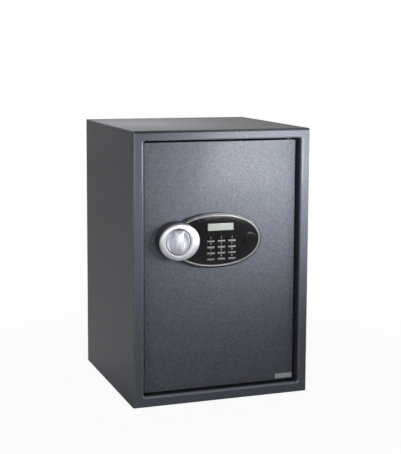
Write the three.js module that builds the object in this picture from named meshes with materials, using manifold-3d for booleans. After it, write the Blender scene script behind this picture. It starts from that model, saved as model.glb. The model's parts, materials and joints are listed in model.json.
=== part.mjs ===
// Electronic safe: a steel cabinet with a recessed door that is hinged on the right.
// Millimetres. X runs to the right seen from the front, Y to the back, Z up.
// The origin is the middle of the cabinet's underside.
import * as THREE from "three";
import { mergeVertices } from "three/addons/utils/BufferGeometryUtils.js";
import Module from "manifold-3d";

const wasm = await Module();
wasm.setup();

// Cabinet
const WIDTH = 350;
const HEIGHT = 515;
const DEPTH = 350;
const SHELL_SHEET = 2;
const FOLD_RADIUS = 2.5;
const FRAME_FACE = 18.5;
const FRAME_RETURN = 48;
const FRAME_SHEET = 2;
const OPENING_CORNER = 3;
const BACK_SHEET = 2;

// Anchor holes in the floor and in the back
const ANCHOR_HOLE = 12;
const ANCHOR_SPACING = 160;
const FLOOR_ANCHOR_FROM_BACK = 115;
const BACK_ANCHOR_FROM_TOP = 115;

// Shelf, its brackets and the floor mat
const SHELF_HEIGHT = 264;
const SHELF_SHEET = 1.5;
const SHELF_LIP = 14;
const SHELF_FROM_FRAME = 44;
const BRACKET_LEG = 18;
const BRACKET_SETBACK = 8;
const MAT_THICKNESS = 3;
const MAT_MARGIN = 1.5;

// Door
const DOOR_SHEET = 4;
const DOOR_RECESS = 16;
const DOOR_GAP = 4.5;
const DOOR_CORNER = 2;
const DOOR_EDGE_RADIUS = 0.8;
const WIRE_SLOT_LENGTH = 26;
const WIRE_SLOT_WIDTH = 10;
const NAME_PLATE_LENGTH = 35;
const NAME_PLATE_HEIGHT = 9.4;
const NAME_PLATE_SHEET = 0.8;
const NAME_PLATE_CORNER = 1;
const NAME_PLATE_MARGIN_X = 1.6;
const NAME_PLATE_MARGIN_Z = 3.2;

// Hinge
const HINGE_INSET = 14;
const HINGE_BEHIND_DOOR = 6;
const HINGE_PIN = 9;
const HINGE_PIN_HEAD = 11;
const HINGE_PIN_HEAD_HEIGHT = 3;
const HINGE_PIN_REACH = 12;
const HINGE_BLOCK_WIDTH = 24;
const HINGE_BLOCK_HEIGHT = 26;
const HINGE_BLOCK_BEHIND = 10;
const BUSH_WALL = 1.8;
const BUSH_COLLAR = 18;
const BUSH_END = 2.5;

// Bolts, their carriage and their guide
const BOLT_DIAMETER = 16;
const BOLT_LENGTH = 44.5;
const BOLT_THROW = 18;
const BOLT_TIP_INSET = 2;
const BOLT_BEHIND_DOOR = 12;
const BOLT_SPREAD = 120;
const BOLT_CHAMFER = 1.2;
const BOLT_TENON = 8;
const BOLT_RIVET = 12;
const BOLT_RIVET_HEIGHT = 2;
const BOLT_HOLE_CLEARANCE = 2;
const CARRIAGE_SHEET = 3;
const CARRIAGE_DEPTH = 22;
const CARRIAGE_END = 13;
const CARRIAGE_BEHIND_BOLT = 14;
const GUIDE_SHEET = 3;
const GUIDE_FROM_EDGE = 16;
const GUIDE_FOOT = 12;
const SCREW_SPREAD = 85;
const SCREW_FROM_KNOB = 6.5;
const SCREW_SHANK = 6;
const SCREW_SPACER = 10;
const SCREW_HEAD = 11;
const SCREW_HEAD_HEIGHT = 3;
const SCREW_TO_WEB_END = 14;

// Knob, spindle and drive cam
const KNOB_FROM_EDGE = 61.5;
const KNOB_ABOVE_MIDDLE = 52.4;
const KNOB_RADIUS = 22.8;
const KNOB_RIM_HEIGHT = 12;
const KNOB_RIM_WIDTH = 2.4;
const KNOB_DISH_DEPTH = 4.5;
const GRIP_TOP_WIDTH = 18;
const GRIP_BOTTOM_WIDTH = 22;
const GRIP_HEIGHT = 19;
const GRIP_SHOULDER = 14.4;
const GRIP_RIDGE = 17.5;
const GRIP_RIDGE_WIDTH = 1.2;
const GRIP_RIDGE_ABOVE = 2.6;
const GRIP_LEAN = 4;

// The knob's bezel: an oval ring that rises to a round crest and falls to the knob
const BEZEL_HALF_WIDTH = 39.3;
const BEZEL_HALF_HEIGHT = 34.7;
const BEZEL_OFFSET = 2.5;
const BEZEL_HEIGHT = 4.2;
const BEZEL_CREST = 26.4;
const BEZEL_GAP = 1.1;
// From its rim to its crest: the share of the way in, and the share of its height
const BEZEL_PROFILE = [
  [0, 0],
  [0.02, 0.28],
  [0.14, 0.58],
  [0.38, 0.84],
  [0.7, 0.97],
  [1, 1],
];
const SPINDLE = 8;
const SPINDLE_IN_KNOB = 10;
const CAM_SHEET = 4;
const CAM_BEHIND_DOOR = 5;
const CAM_HUB_RADIUS = 10;
const CAM_LOBE_RADIUS = 5;
const CAM_PIN = 6;
const CAM_PIN_PROUD = 3;
const CAM_SLOT_CLEARANCE = 1.6;

// Solenoid that blocks the carriage
const SOLENOID_FROM_KNOB = 1.5;
const SOLENOID_WIDTH = 28;
const SOLENOID_HEIGHT = 40;
const SOLENOID_SHEET = 1.5;
const COIL_DIAMETER = 24;
const COIL_WINDING = 21.5;
const COIL_FLANGE = 2;
const PLUNGER = 6;
const PLUNGER_TRAVEL = 5.5;
const PLUNGER_COLLAR = 10;
const PLUNGER_COLLAR_HEIGHT = 2;
const PLUNGER_TIP_GAP = 0.5;
const NOTCH_WIDTH = 7;
const SPRING_LENGTH = 9.4;
const SPRING_TURNS = 4;
const SPRING_WIRE = 0.8;
const SPRING_RADIUS = 4.3;

// Control panel
const PANEL_FROM_KNOB = 79;
const PANEL_BELOW_KNOB = 2.9;
// The power in the panel's oval outline; 2 is an ellipse, more has fuller shoulders
const PANEL_SQUARENESS = 2.15;
const BASE_HALF_WIDTH = 90.3;
const BASE_HALF_HEIGHT = 52;
const BASE_DEPTH = 10;
const BASE_WALL = 2;
const BOSS_HEIGHT = 12;
const BOSS_DRAFT = 1.6;
const RING_HALF_WIDTH = 87.5;
const RING_HALF_HEIGHT = 49.2;
const RING_WIDTH = 3.8;
const RING_THICKNESS = 2;
const FACE_THICKNESS = 1.2;
const POST_DIAMETER = 5;
const POST_FROM_END = 8;

// Keys, display and circuit board
const KEYPAD_FROM_PANEL = 9.5;
const KEY_TOP_ROW_BELOW = 1;
const KEY_LENGTH = 15.4;
const KEY_WIDTH = 3.8;
const KEY_PITCH_X = 21.1;
const KEY_PITCH_Z = 11.4;
const KEY_PROUD = 1;
const KEY_FLANGE = 0.9;
const KEY_FLANGE_THICKNESS = 1.2;
const KEY_TRAVEL = 1;
const WINDOW_WIDTH = 51.5;
const WINDOW_HEIGHT = 13.6;
const WINDOW_FROM_PANEL = 8.2;
const WINDOW_ABOVE = 25.6;
const KEY_MAT_MARGIN = 1;
const DISPLAY_MARGIN = 3;
const OPENING_MARGIN = 3;
const BOARD_BEHIND_FRONT = 6.3;
const BOARD_THICKNESS = 1.6;

// Emergency lock and its cap
const LOCK_FROM_PANEL = 67;
const LOCK_DIAMETER = 18;
const LOCK_LENGTH = 33;
const LOCK_NUT = 25;
const LOCK_NUT_HEIGHT = 5;
const PLUG_DIAMETER = 10;
const PLUG_TAIL = 6;
const PLUG_TAIL_LENGTH = 4;
const PLUG_HEAD_HEIGHT = 2;
const KEYWAY_WIDTH = 2;
const KEYWAY_HEIGHT = 7;
const KEYWAY_DEPTH = 4;
const LOCK_CAM_LENGTH = 20;
const LOCK_CAM_RADIUS = 7;
const LOCK_CAM_TIP_RADIUS = 4;
const CAP_DIAMETER = 25;
const CAP_THICKNESS = 1.8;
const CAP_STEP = 1;
const CAP_SPIGOT_DEPTH = 2;
const CAP_SPIGOT_WALL = 1.5;

// Inner cover and its screws
const COVER_SHEET = 1.2;
const COVER_DEPTH = 47;
const COVER_FROM_EDGE = 6;
const COVER_FROM_HINGE_EDGE = 32;
const COVER_FROM_ENDS = 7;
const COVER_SCREW = 4;
const COVER_SCREW_HEAD = 8;
const COVER_SCREW_HEAD_HEIGHT = 2.5;
const COVER_SCREW_INSET = 10;
const COVER_SCREW_BITE = 2;

// Batteries, their box and its cover, and the reset button
const CELL_DIAMETER = 14.5;
const CELL_LENGTH = 50.5;
const CELL_NUB = 5.5;
const CELL_NUB_HEIGHT = 1;
const CELL_COUNT = 4;
const CELL_GAP = 0.8;
const CONTACT_SHEET = 0.8;
const CONTACT_WIDTH = 8;
const BOX_WALL = 1.5;
const BOX_END_ROOM = 2.2;
const BOX_RIM = 4;
const BATTERY_FROM_COVER_EDGE = 75.5;
const BATTERY_ABOVE_COVER = 130;
const BATTERY_COVER_SHEET = 1.5;
const BATTERY_COVER_LIP = 2;
const BUTTON_DIAMETER = 6;
const BUTTON_FLANGE = 9;
const BUTTON_FLANGE_THICKNESS = 1.7;
const BUTTON_PROUD = 2.5;
const BUTTON_TRAVEL = 2;
const BUTTON_GUIDE = 8;

// Clearances
const SEAT = 0.3;
const RUNNING = 0.4;

// How finely round shapes are divided
const FOLD_STEPS = 3;
const ROUND_SIDES = 20;
const SMALL_SIDES = 12;
const KEY_CORNER_STEPS = 2;
const SPRING_SIDES = 5;
const SPRING_STEPS = 10;
const OVAL_STEPS = 22;
const BEYOND = 1;

// Places that follow from the sizes
const front = -DEPTH / 2;
const back = DEPTH / 2;
const wallInside = WIDTH / 2 - SHELL_SHEET;
const openingSide = WIDTH / 2 - FRAME_FACE;
const openingBottom = FRAME_FACE;
const openingTop = HEIGHT - FRAME_FACE;
const frameBack = front + FRAME_RETURN;
const doorLeft = -openingSide + DOOR_GAP;
const doorRight = openingSide - DOOR_GAP;
const doorBottom = openingBottom + DOOR_GAP;
const doorTop = openingTop - DOOR_GAP;
const doorFace = front + DOOR_RECESS;
const doorBack = doorFace + DOOR_SHEET;
const onDoor = doorBack + SEAT;
const hingeX = doorRight - HINGE_INSET;
const hingeY = doorBack + HINGE_BEHIND_DOOR;
const knobX = doorLeft + KNOB_FROM_EDGE;
const knobZ = HEIGHT / 2 + KNOB_ABOVE_MIDDLE;
const bezelX = knobX + BEZEL_OFFSET;
const knobBore = KNOB_RADIUS + BEZEL_GAP;
const boltY = doorBack + BOLT_BEHIND_DOOR;
const boltHeights = [knobZ + BOLT_SPREAD, knobZ - BOLT_SPREAD];
const boltTip = doorLeft + BOLT_TIP_INSET;
const carriageLeft = boltTip + BOLT_LENGTH + SEAT;
const carriageTop = boltHeights[0] + CARRIAGE_END;
const carriageBottom = boltHeights[1] - CARRIAGE_END;
const webBack = boltY + CARRIAGE_BEHIND_BOLT;
const webFront = webBack - CARRIAGE_SHEET;
const screwX = knobX + SCREW_FROM_KNOB;
const screwHeights = [knobZ + SCREW_SPREAD, knobZ - SCREW_SPREAD];
const webEnd = screwX + BOLT_THROW + SCREW_TO_WEB_END;
const camRadius = BOLT_THROW / 2 / Math.sin(Math.PI / 4);
const camPinX = knobX + BOLT_THROW / 2;
const camPinZ = knobZ + BOLT_THROW / 2;
const camFront = doorBack + CAM_BEHIND_DOOR;
const camBack = camFront + CAM_SHEET;
const solenoidX = knobX + SOLENOID_FROM_KNOB;
const solenoidY = (webFront + webBack) / 2;
const collarTop = carriageBottom - PLUNGER_TRAVEL - SEAT;
const collarBottom = collarTop - PLUNGER_COLLAR_HEIGHT;
const springBottom = collarBottom - SEAT - SPRING_LENGTH;
const solenoidTop = springBottom - SEAT;
const solenoidBottom = solenoidTop - SOLENOID_HEIGHT;
const baseBack = doorFace - SEAT;
const baseFront = baseBack - BASE_DEPTH;
const onBase = baseFront - SEAT;
const bossFront = baseFront - BOSS_HEIGHT;
const bezelBack = bossFront - SEAT;
const bezelFront = bezelBack - BEZEL_HEIGHT;
const faceFront = onBase - FACE_THICKNESS;
const panelX = knobX + PANEL_FROM_KNOB;
const panelZ = knobZ - PANEL_BELOW_KNOB;
const keypadX = panelX + KEYPAD_FROM_PANEL;
const keypadTop = panelZ - KEY_TOP_ROW_BELOW;
const windowX = panelX + WINDOW_FROM_PANEL;
const windowZ = panelZ + WINDOW_ABOVE;
const keyFront = faceFront - KEY_PROUD;
const keyBack = onBase + SEAT + KEY_FLANGE_THICKNESS;
const boardFront = baseFront + BOARD_BEHIND_FRONT;
const boardBack = boardFront + BOARD_THICKNESS;
const lockX = panelX + LOCK_FROM_PANEL;
const lockZ = panelZ;
const lockFront = onBase + CAP_SPIGOT_DEPTH - FACE_THICKNESS;
const lockBack = lockFront + LOCK_LENGTH;
const coverLeft = doorLeft + COVER_FROM_EDGE;
const coverRight = doorRight - COVER_FROM_HINGE_EDGE;
const coverBottom = doorBottom + COVER_FROM_ENDS;
const coverTop = doorTop - COVER_FROM_ENDS;
const coverBack = doorBack + COVER_DEPTH;
const coverInside = coverBack - COVER_SHEET;
const batteryX = coverRight - BATTERY_FROM_COVER_EDGE;
const batteryZ = coverBottom + BATTERY_ABOVE_COVER;
const cellPitch = CELL_DIAMETER + CELL_GAP;
const trayHalfWidth = (CELL_COUNT * cellPitch + CELL_GAP) / 2;
const trayHalfHeight = CELL_LENGTH / 2 + BOX_END_ROOM;
const trayTop = coverInside - SEAT;
const cellY = trayTop - SEAT - CELL_DIAMETER / 2;
const trayFloor = cellY - CELL_DIAMETER / 2 - SEAT;
const buttonX = batteryX + trayHalfWidth + BOX_WALL + BUTTON_GUIDE / 2 + BOX_RIM;

// A closed three.js geometry as a solid that can be joined and cut.
function solid(geometry) {
  const bare = geometry.clone();
  bare.deleteAttribute("normal");
  bare.deleteAttribute("uv");
  const merged = mergeVertices(bare);
  return new wasm.Manifold(
    new wasm.Mesh({
      numProp: 3,
      vertProperties: merged.attributes.position.array,
      triVerts: new Uint32Array(merged.index.array),
    }),
  );
}

// A solid as a three.js geometry with flat faces.
function geometryOf(body) {
  const mesh = body.getMesh();
  const shared = new THREE.BufferGeometry();
  shared.setAttribute("position", new THREE.BufferAttribute(mesh.vertProperties, mesh.numProp));
  shared.setIndex(new THREE.BufferAttribute(mesh.triVerts, 1));
  const flat = shared.toNonIndexed();
  flat.computeVertexNormals();
  return flat;
}

function join(first, ...others) {
  return others.reduce((body, other) => body.add(other), first);
}

function cut(first, ...others) {
  return others.reduce((body, other) => body.subtract(other), first);
}

function box([x0, x1], [y0, y1], [z0, z1]) {
  const block = new THREE.BoxGeometry(x1 - x0, y1 - y0, z1 - z0);
  return solid(block.translate((x0 + x1) / 2, (y0 + y1) / 2, (z0 + z1) / 2));
}

// Turns a geometry that stands along Y so that it lies along another axis.
function along(axis, geometry, [u, v]) {
  if (axis === "x") return geometry.rotateZ(-Math.PI / 2).translate(0, u, v);
  if (axis === "z") return geometry.rotateX(Math.PI / 2).translate(u, v, 0);
  return geometry.translate(u, 0, v);
}

// A round bar between two places on its axis; u and v are its other two coordinates.
function rod(axis, diameter, [from, to], [u, v], sides = ROUND_SIDES) {
  const bar = new THREE.CylinderGeometry(diameter / 2, diameter / 2, to - from, sides);
  return solid(along(axis, bar.translate(0, (from + to) / 2, 0), [u, v]));
}

// A turned piece, from steps of a diameter and the place on the axis where it ends.
function turned(axis, start, steps, [u, v], sides = ROUND_SIDES) {
  const profile = [new THREE.Vector2(0, start)];
  let place = start;
  for (const [diameter, end] of steps) {
    profile.push(new THREE.Vector2(diameter / 2, place), new THREE.Vector2(diameter / 2, end));
    place = end;
  }
  profile.push(new THREE.Vector2(0, place));
  return solid(along(axis, new THREE.LatheGeometry(profile, sides), [u, v]));
}

// A flat piece cut to an outline in X and Z, between two places in Y.
function plate(outline, [y0, y1], curveSegments = OVAL_STEPS) {
  const options = { depth: y1 - y0, bevelEnabled: false, curveSegments };
  const sheet = new THREE.ExtrudeGeometry(outline, options);
  return solid(sheet.rotateX(Math.PI / 2).translate(0, y1, 0));
}

// The points of an oval, anticlockwise from the front; squareness 2 is an ellipse.
function ovalPoints([x, z], halfWidth, halfHeight, squareness = 2, steps = 2 * OVAL_STEPS) {
  const stretch = (share) => Math.sign(share) * Math.abs(share) ** (2 / squareness);
  return Array.from({ length: steps }, (_, step) => {
    const angle = (2 * Math.PI * step) / steps;
    return new THREE.Vector2(
      x + halfWidth * stretch(Math.cos(angle)),
      z + halfHeight * stretch(Math.sin(angle)),
    );
  });
}

// The outline of the panel's base, ring or face.
function panelOval(halfWidth, halfHeight) {
  const points = ovalPoints([panelX, panelZ], halfWidth, halfHeight, PANEL_SQUARENESS);
  return new THREE.Shape(points);
}

// A slot outline: two half circles joined by straight sides.
function slotOutline([x0, z0], [x1, z1], width) {
  const heading = Math.atan2(z1 - z0, x1 - x0);
  const quarter = Math.PI / 2;
  const outline = new THREE.Shape();
  outline.absarc(x0, z0, width / 2, heading + quarter, heading + 3 * quarter, false);
  outline.absarc(x1, z1, width / 2, heading - quarter, heading + quarter, false);
  outline.closePath();
  return outline;
}

// An arm outline: a large and a small circle joined by their common tangents.
function armOutline([x0, z0], r0, [x1, z1], r1) {
  const heading = Math.atan2(z1 - z0, x1 - x0);
  const spread = Math.acos((r0 - r1) / Math.hypot(x1 - x0, z1 - z0));
  const outline = new THREE.Shape();
  outline.absarc(x0, z0, r0, heading + spread, heading + 2 * Math.PI - spread, false);
  outline.absarc(x1, z1, r1, heading - spread, heading + spread, false);
  outline.closePath();
  return outline;
}

// The points of a rectangle with round corners, anticlockwise from the front.
function roundedPoints([x0, x1], [z0, z1], radius, steps = FOLD_STEPS) {
  const corners = [
    [x1 - radius, z0 + radius, -Math.PI / 2],
    [x1 - radius, z1 - radius, 0],
    [x0 + radius, z1 - radius, Math.PI / 2],
    [x0 + radius, z0 + radius, Math.PI],
  ];
  return corners.flatMap(([x, z, start]) =>
    Array.from({ length: steps + 1 }, (_, step) => {
      const angle = start + ((Math.PI / 2) * step) / steps;
      return new THREE.Vector2(x + radius * Math.cos(angle), z + radius * Math.sin(angle));
    }),
  );
}

function roundedOutline(spanX, spanZ, radius) {
  return new THREE.Shape(roundedPoints(spanX, spanZ, radius));
}

// A solid through convex outlines with matching points, from front to back.
function loft(layers) {
  const count = layers[0].points.length;
  const vertices = layers.flatMap(({ y, points }) => points.flatMap((p) => [p.x, y, p.y]));
  const faces = [];
  for (let layer = 0; layer < layers.length - 1; layer++) {
    for (let i = 0; i < count; i++) {
      const next = (i + 1) % count;
      const near = layer * count;
      const far = near + count;
      faces.push(near + i, far + i, near + next, near + next, far + i, far + next);
    }
  }
  const last = (layers.length - 1) * count;
  for (let i = 1; i < count - 1; i++) {
    faces.push(0, i, i + 1, last, last + i + 1, last + i);
  }
  const skin = new THREE.BufferGeometry();
  skin.setAttribute("position", new THREE.Float32BufferAttribute(vertices, 3));
  skin.setIndex(faces);
  return solid(skin);
}

// A block whose front edges are rounded over; grow widens the front instead, for a cutter.
function foldedBlock([x0, x1], [y0, y1], [z0, z1], corner, fold, grow = false) {
  const layers = [];
  for (let step = 0; step <= FOLD_STEPS; step++) {
    const angle = ((Math.PI / 2) * step) / FOLD_STEPS;
    const inset = fold * (1 - Math.sin(angle)) * (grow ? -1 : 1);
    const radius = Math.max(corner - inset, corner / 5);
    const points = roundedPoints([x0 + inset, x1 - inset], [z0 + inset, z1 - inset], radius);
    layers.push({ y: y0 + fold * (1 - Math.cos(angle)), points });
  }
  layers.push({ y: y1, points: layers[FOLD_STEPS].points });
  if (grow) layers.unshift({ y: y0 - BEYOND, points: layers[0].points });
  return loft(layers);
}

// The front opening with its rounded fold, as a cutter.
function openingCutter() {
  return foldedBlock(
    [-openingSide, openingSide],
    [front, frameBack + BEYOND],
    [openingBottom, openingTop],
    OPENING_CORNER,
    FOLD_RADIUS,
    true,
  );
}

function anchorXs() {
  return [-ANCHOR_SPACING / 2, ANCHOR_SPACING / 2];
}

function cabinetShell() {
  const outside = foldedBlock(
    [-WIDTH / 2, WIDTH / 2],
    [front, back],
    [0, HEIGHT],
    FOLD_RADIUS,
    FOLD_RADIUS,
  );
  const inside = box(
    [-wallInside, wallInside],
    [front + SHELL_SHEET, back + BEYOND],
    [SHELL_SHEET, HEIGHT - SHELL_SHEET],
  );
  const flange = box(
    [-openingSide - FRAME_SHEET, openingSide + FRAME_SHEET],
    [front + SHELL_SHEET / 2, frameBack],
    [openingBottom - FRAME_SHEET, openingTop + FRAME_SHEET],
  );
  const hollow = cut(join(cut(outside, inside), flange), openingCutter());
  const bushHole = HINGE_PIN + 2 * RUNNING + 2 * BUSH_WALL + 2 * SEAT;
  const bushHoles = [
    [openingBottom - FRAME_SHEET - BEYOND, openingBottom + BEYOND],
    [openingTop - BEYOND, openingTop + FRAME_SHEET + BEYOND],
  ].map((span) => rod("z", bushHole, span, [hingeX, hingeY]));
  const boltSpan = [-openingSide - FRAME_SHEET - BEYOND, -openingSide + BEYOND];
  const boltHole = BOLT_DIAMETER + BOLT_HOLE_CLEARANCE;
  const boltHoles = boltHeights.map((z) => rod("x", boltHole, boltSpan, [boltY, z]));
  const anchorY = back - FLOOR_ANCHOR_FROM_BACK;
  const anchorHoles = anchorXs().map((x) =>
    rod("z", ANCHOR_HOLE, [-BEYOND, SHELL_SHEET + BEYOND], [x, anchorY]),
  );
  return cut(hollow, ...bushHoles, ...boltHoles, ...anchorHoles);
}

function backPanel() {
  const side = wallInside - SEAT;
  const panel = box(
    [-side, side],
    [back - BACK_SHEET, back],
    [SHELL_SHEET + SEAT, HEIGHT - SHELL_SHEET - SEAT],
  );
  const z = HEIGHT - BACK_ANCHOR_FROM_TOP;
  const span = [back - BACK_SHEET - BEYOND, back + BEYOND];
  return cut(panel, ...anchorXs().map((x) => rod("y", ANCHOR_HOLE, span, [x, z])));
}

function shelf() {
  const side = wallInside - 2 * SEAT;
  const shelfFront = frameBack + SHELF_FROM_FRAME;
  const top = SHELF_HEIGHT;
  const board = box(
    [-side, side],
    [shelfFront, back - BACK_SHEET - SEAT],
    [top - SHELF_SHEET, top],
  );
  const lip = box([-side, side], [shelfFront, shelfFront + SHELF_SHEET], [top - SHELF_LIP, top]);
  return join(board, lip);
}

// An angle that runs from front to back on the left wall; side is 1 for the right wall.
function shelfBracket(side) {
  const outer = wallInside - SEAT;
  const top = SHELF_HEIGHT - SHELF_SHEET - SEAT;
  const span = [
    frameBack + SHELF_FROM_FRAME + SHELF_SHEET + BRACKET_SETBACK,
    back - BACK_SHEET - BRACKET_SETBACK,
  ];
  const ordered = (a, b) => (side < 0 ? [-b, -a] : [a, b]);
  const wallLeg = box(ordered(outer - SHELF_SHEET, outer), span, [top - BRACKET_LEG, top]);
  const shelfLeg = box(ordered(outer - BRACKET_LEG, outer), span, [top - SHELF_SHEET, top]);
  return join(wallLeg, shelfLeg);
}

function floorMat() {
  const side = wallInside - MAT_MARGIN;
  const bottom = SHELL_SHEET + SEAT;
  const mat = box(
    [-side, side],
    [frameBack, back - BACK_SHEET - MAT_MARGIN],
    [bottom, bottom + MAT_THICKNESS],
  );
  const span = [bottom - BEYOND, bottom + MAT_THICKNESS + BEYOND];
  const anchorY = back - FLOOR_ANCHOR_FROM_BACK;
  return cut(mat, ...anchorXs().map((x) => rod("z", ANCHOR_HOLE, span, [x, anchorY])));
}

// The bush for the top pin; the bottom one is this one turned over.
function hingeBush() {
  const bore = HINGE_PIN + 2 * RUNNING;
  const sleeve = bore + 2 * BUSH_WALL;
  const collarEnd = DOOR_GAP - SEAT;
  const end = DOOR_GAP + FRAME_SHEET + BUSH_END;
  const steps = [
    [BUSH_COLLAR, collarEnd],
    [sleeve, end],
  ];
  const body = turned("z", SEAT, steps, [0, 0]);
  return cut(body, rod("z", bore, [SEAT - BEYOND, end + BEYOND], [0, 0]));
}

// The block that carries the top pin, with its top at the door's top edge.
function hingeBlock() {
  const half = HINGE_BLOCK_WIDTH / 2;
  const block = box([-half, half], [onDoor - hingeY, HINGE_BLOCK_BEHIND], [-HINGE_BLOCK_HEIGHT, 0]);
  const span = [-HINGE_BLOCK_HEIGHT - BEYOND, BEYOND];
  return cut(block, rod("z", HINGE_PIN + 2 * SEAT, span, [0, 0]));
}

function hingePin() {
  const headTop = -HINGE_BLOCK_HEIGHT - SEAT;
  const steps = [
    [HINGE_PIN_HEAD, headTop],
    [HINGE_PIN, HINGE_PIN_REACH],
  ];
  return turned("z", headTop - HINGE_PIN_HEAD_HEIGHT, steps, [0, 0]);
}

function coverScrewPlaces() {
  const left = coverLeft + COVER_SCREW_INSET;
  const right = coverRight - COVER_SCREW_INSET;
  const top = coverTop - COVER_SCREW_INSET;
  const bottom = coverBottom + COVER_SCREW_INSET;
  return [
    [left, top],
    [right, top],
    [left, bottom],
    [right, bottom],
  ];
}

function doorPlate() {
  const sheet = foldedBlock(
    [doorLeft, doorRight],
    [doorFace, doorBack],
    [doorBottom, doorTop],
    DOOR_CORNER,
    DOOR_EDGE_RADIUS,
  );
  const through = [doorFace - BEYOND, doorBack + BEYOND];
  const blind = [doorBack - COVER_SCREW_BITE - SEAT, doorBack + BEYOND];
  const screwHole = COVER_SCREW + 2 * SEAT;
  const screwHoles = coverScrewPlaces().map((p) => rod("y", screwHole, blind, p, SMALL_SIDES));
  const reach = (WIRE_SLOT_LENGTH - WIRE_SLOT_WIDTH) / 2;
  const wireSlot = slotOutline([windowX - reach, windowZ], [windowX + reach, windowZ], WIRE_SLOT_WIDTH);
  return cut(
    sheet,
    rod("y", SPINDLE + 2 * RUNNING, through, [knobX, knobZ]),
    rod("y", LOCK_DIAMETER + 2 * SEAT, through, [lockX, lockZ]),
    plate(wireSlot, through, SMALL_SIDES / 2),
    ...screwHoles,
  );
}

function namePlate() {
  const right = doorRight - NAME_PLATE_MARGIN_X;
  const bottom = doorBottom + NAME_PLATE_MARGIN_Z;
  return plate(
    roundedOutline(
      [right - NAME_PLATE_LENGTH, right],
      [bottom, bottom + NAME_PLATE_HEIGHT],
      NAME_PLATE_CORNER,
    ),
    [doorFace - SEAT - NAME_PLATE_SHEET, doorFace - SEAT],
  );
}

function boltGuide() {
  const left = doorLeft + GUIDE_FROM_EDGE;
  const span = [carriageBottom, carriageTop];
  const upright = box([left, left + GUIDE_SHEET], [onDoor, webFront], span);
  const foot = box([left, left + GUIDE_FOOT], [onDoor, onDoor + GUIDE_SHEET], span);
  const holeSpan = [left - BEYOND, left + GUIDE_SHEET + BEYOND];
  const hole = BOLT_DIAMETER + 2 * SEAT;
  return cut(join(upright, foot), ...boltHeights.map((z) => rod("x", hole, holeSpan, [boltY, z])));
}

function bolt() {
  const steps = [
    [BOLT_DIAMETER - 2 * BOLT_CHAMFER, boltTip + BOLT_CHAMFER],
    [BOLT_DIAMETER, carriageLeft - SEAT],
    [BOLT_TENON, carriageLeft + CARRIAGE_SHEET + SEAT],
    [BOLT_RIVET, carriageLeft + CARRIAGE_SHEET + SEAT + BOLT_RIVET_HEIGHT],
  ];
  return turned("x", boltTip, steps, [boltY, 0]);
}

// A slot through the web, along the carriage's travel, for a guide screw.
function screwSlot(z) {
  const width = SCREW_SHANK + 2 * RUNNING;
  const outline = slotOutline([screwX, z], [screwX + BOLT_THROW, z], width);
  return plate(outline, [webFront - BEYOND, webBack + BEYOND], SMALL_SIDES / 2);
}

// The upright slot that the cam pin drives; the pin rises to the cam's radius as it turns.
function camSlot() {
  const width = CAM_PIN + CAM_SLOT_CLEARANCE;
  const low = camPinZ - RUNNING;
  const high = knobZ + camRadius + RUNNING;
  const outline = slotOutline([camPinX, low], [camPinX, high], width);
  return plate(outline, [webFront - BEYOND, webBack + BEYOND], SMALL_SIDES / 2);
}

// A notch in the web's lower edge, for the plunger.
function plungerNotch(x) {
  const depth = PLUNGER_TRAVEL + 3 * RUNNING;
  return box(
    [x - NOTCH_WIDTH / 2, x + NOTCH_WIDTH / 2],
    [webFront - BEYOND, webBack + BEYOND],
    [carriageBottom - BEYOND, carriageBottom + depth],
  );
}

function boltCarriage() {
  const span = [carriageBottom, carriageTop];
  const flange = box(
    [carriageLeft, carriageLeft + CARRIAGE_SHEET],
    [webBack - CARRIAGE_DEPTH, webBack],
    span,
  );
  const web = box([carriageLeft, webEnd], [webFront, webBack], span);
  const tenonSpan = [carriageLeft - BEYOND, carriageLeft + CARRIAGE_SHEET + BEYOND];
  const tenonHole = BOLT_TENON + 2 * SEAT;
  return cut(
    join(flange, web),
    ...screwHeights.map(screwSlot),
    camSlot(),
    plungerNotch(solenoidX),
    plungerNotch(solenoidX + BOLT_THROW),
    ...boltHeights.map((z) => rod("x", tenonHole, tenonSpan, [boltY, z])),
  );
}

// A shouldered stud on the door that holds the web and lets it slide.
function carriageScrew() {
  const steps = [
    [SCREW_SPACER, webFront - SEAT],
    [SCREW_SHANK, webBack + SEAT],
    [SCREW_HEAD, webBack + SEAT + SCREW_HEAD_HEIGHT],
  ];
  return turned("y", onDoor, steps, [screwX, 0], SMALL_SIDES);
}

function spindle() {
  const start = onBase - SPINDLE_IN_KNOB;
  return rod("y", SPINDLE, [start, camBack + SEAT], [knobX, knobZ]);
}

function driveCam() {
  const arm = plate(
    armOutline([knobX, knobZ], CAM_HUB_RADIUS, [camPinX, camPinZ], CAM_LOBE_RADIUS),
    [camFront, camBack],
    SMALL_SIDES,
  );
  const pin = rod("y", CAM_PIN, [camFront, webBack + CAM_PIN_PROUD], [camPinX, camPinZ]);
  const bore = rod(
    "y",
    SPINDLE + 2 * SEAT,
    [camFront - BEYOND, camBack + BEYOND],
    [knobX, knobZ],
  );
  return cut(join(arm, pin), bore);
}

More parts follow.
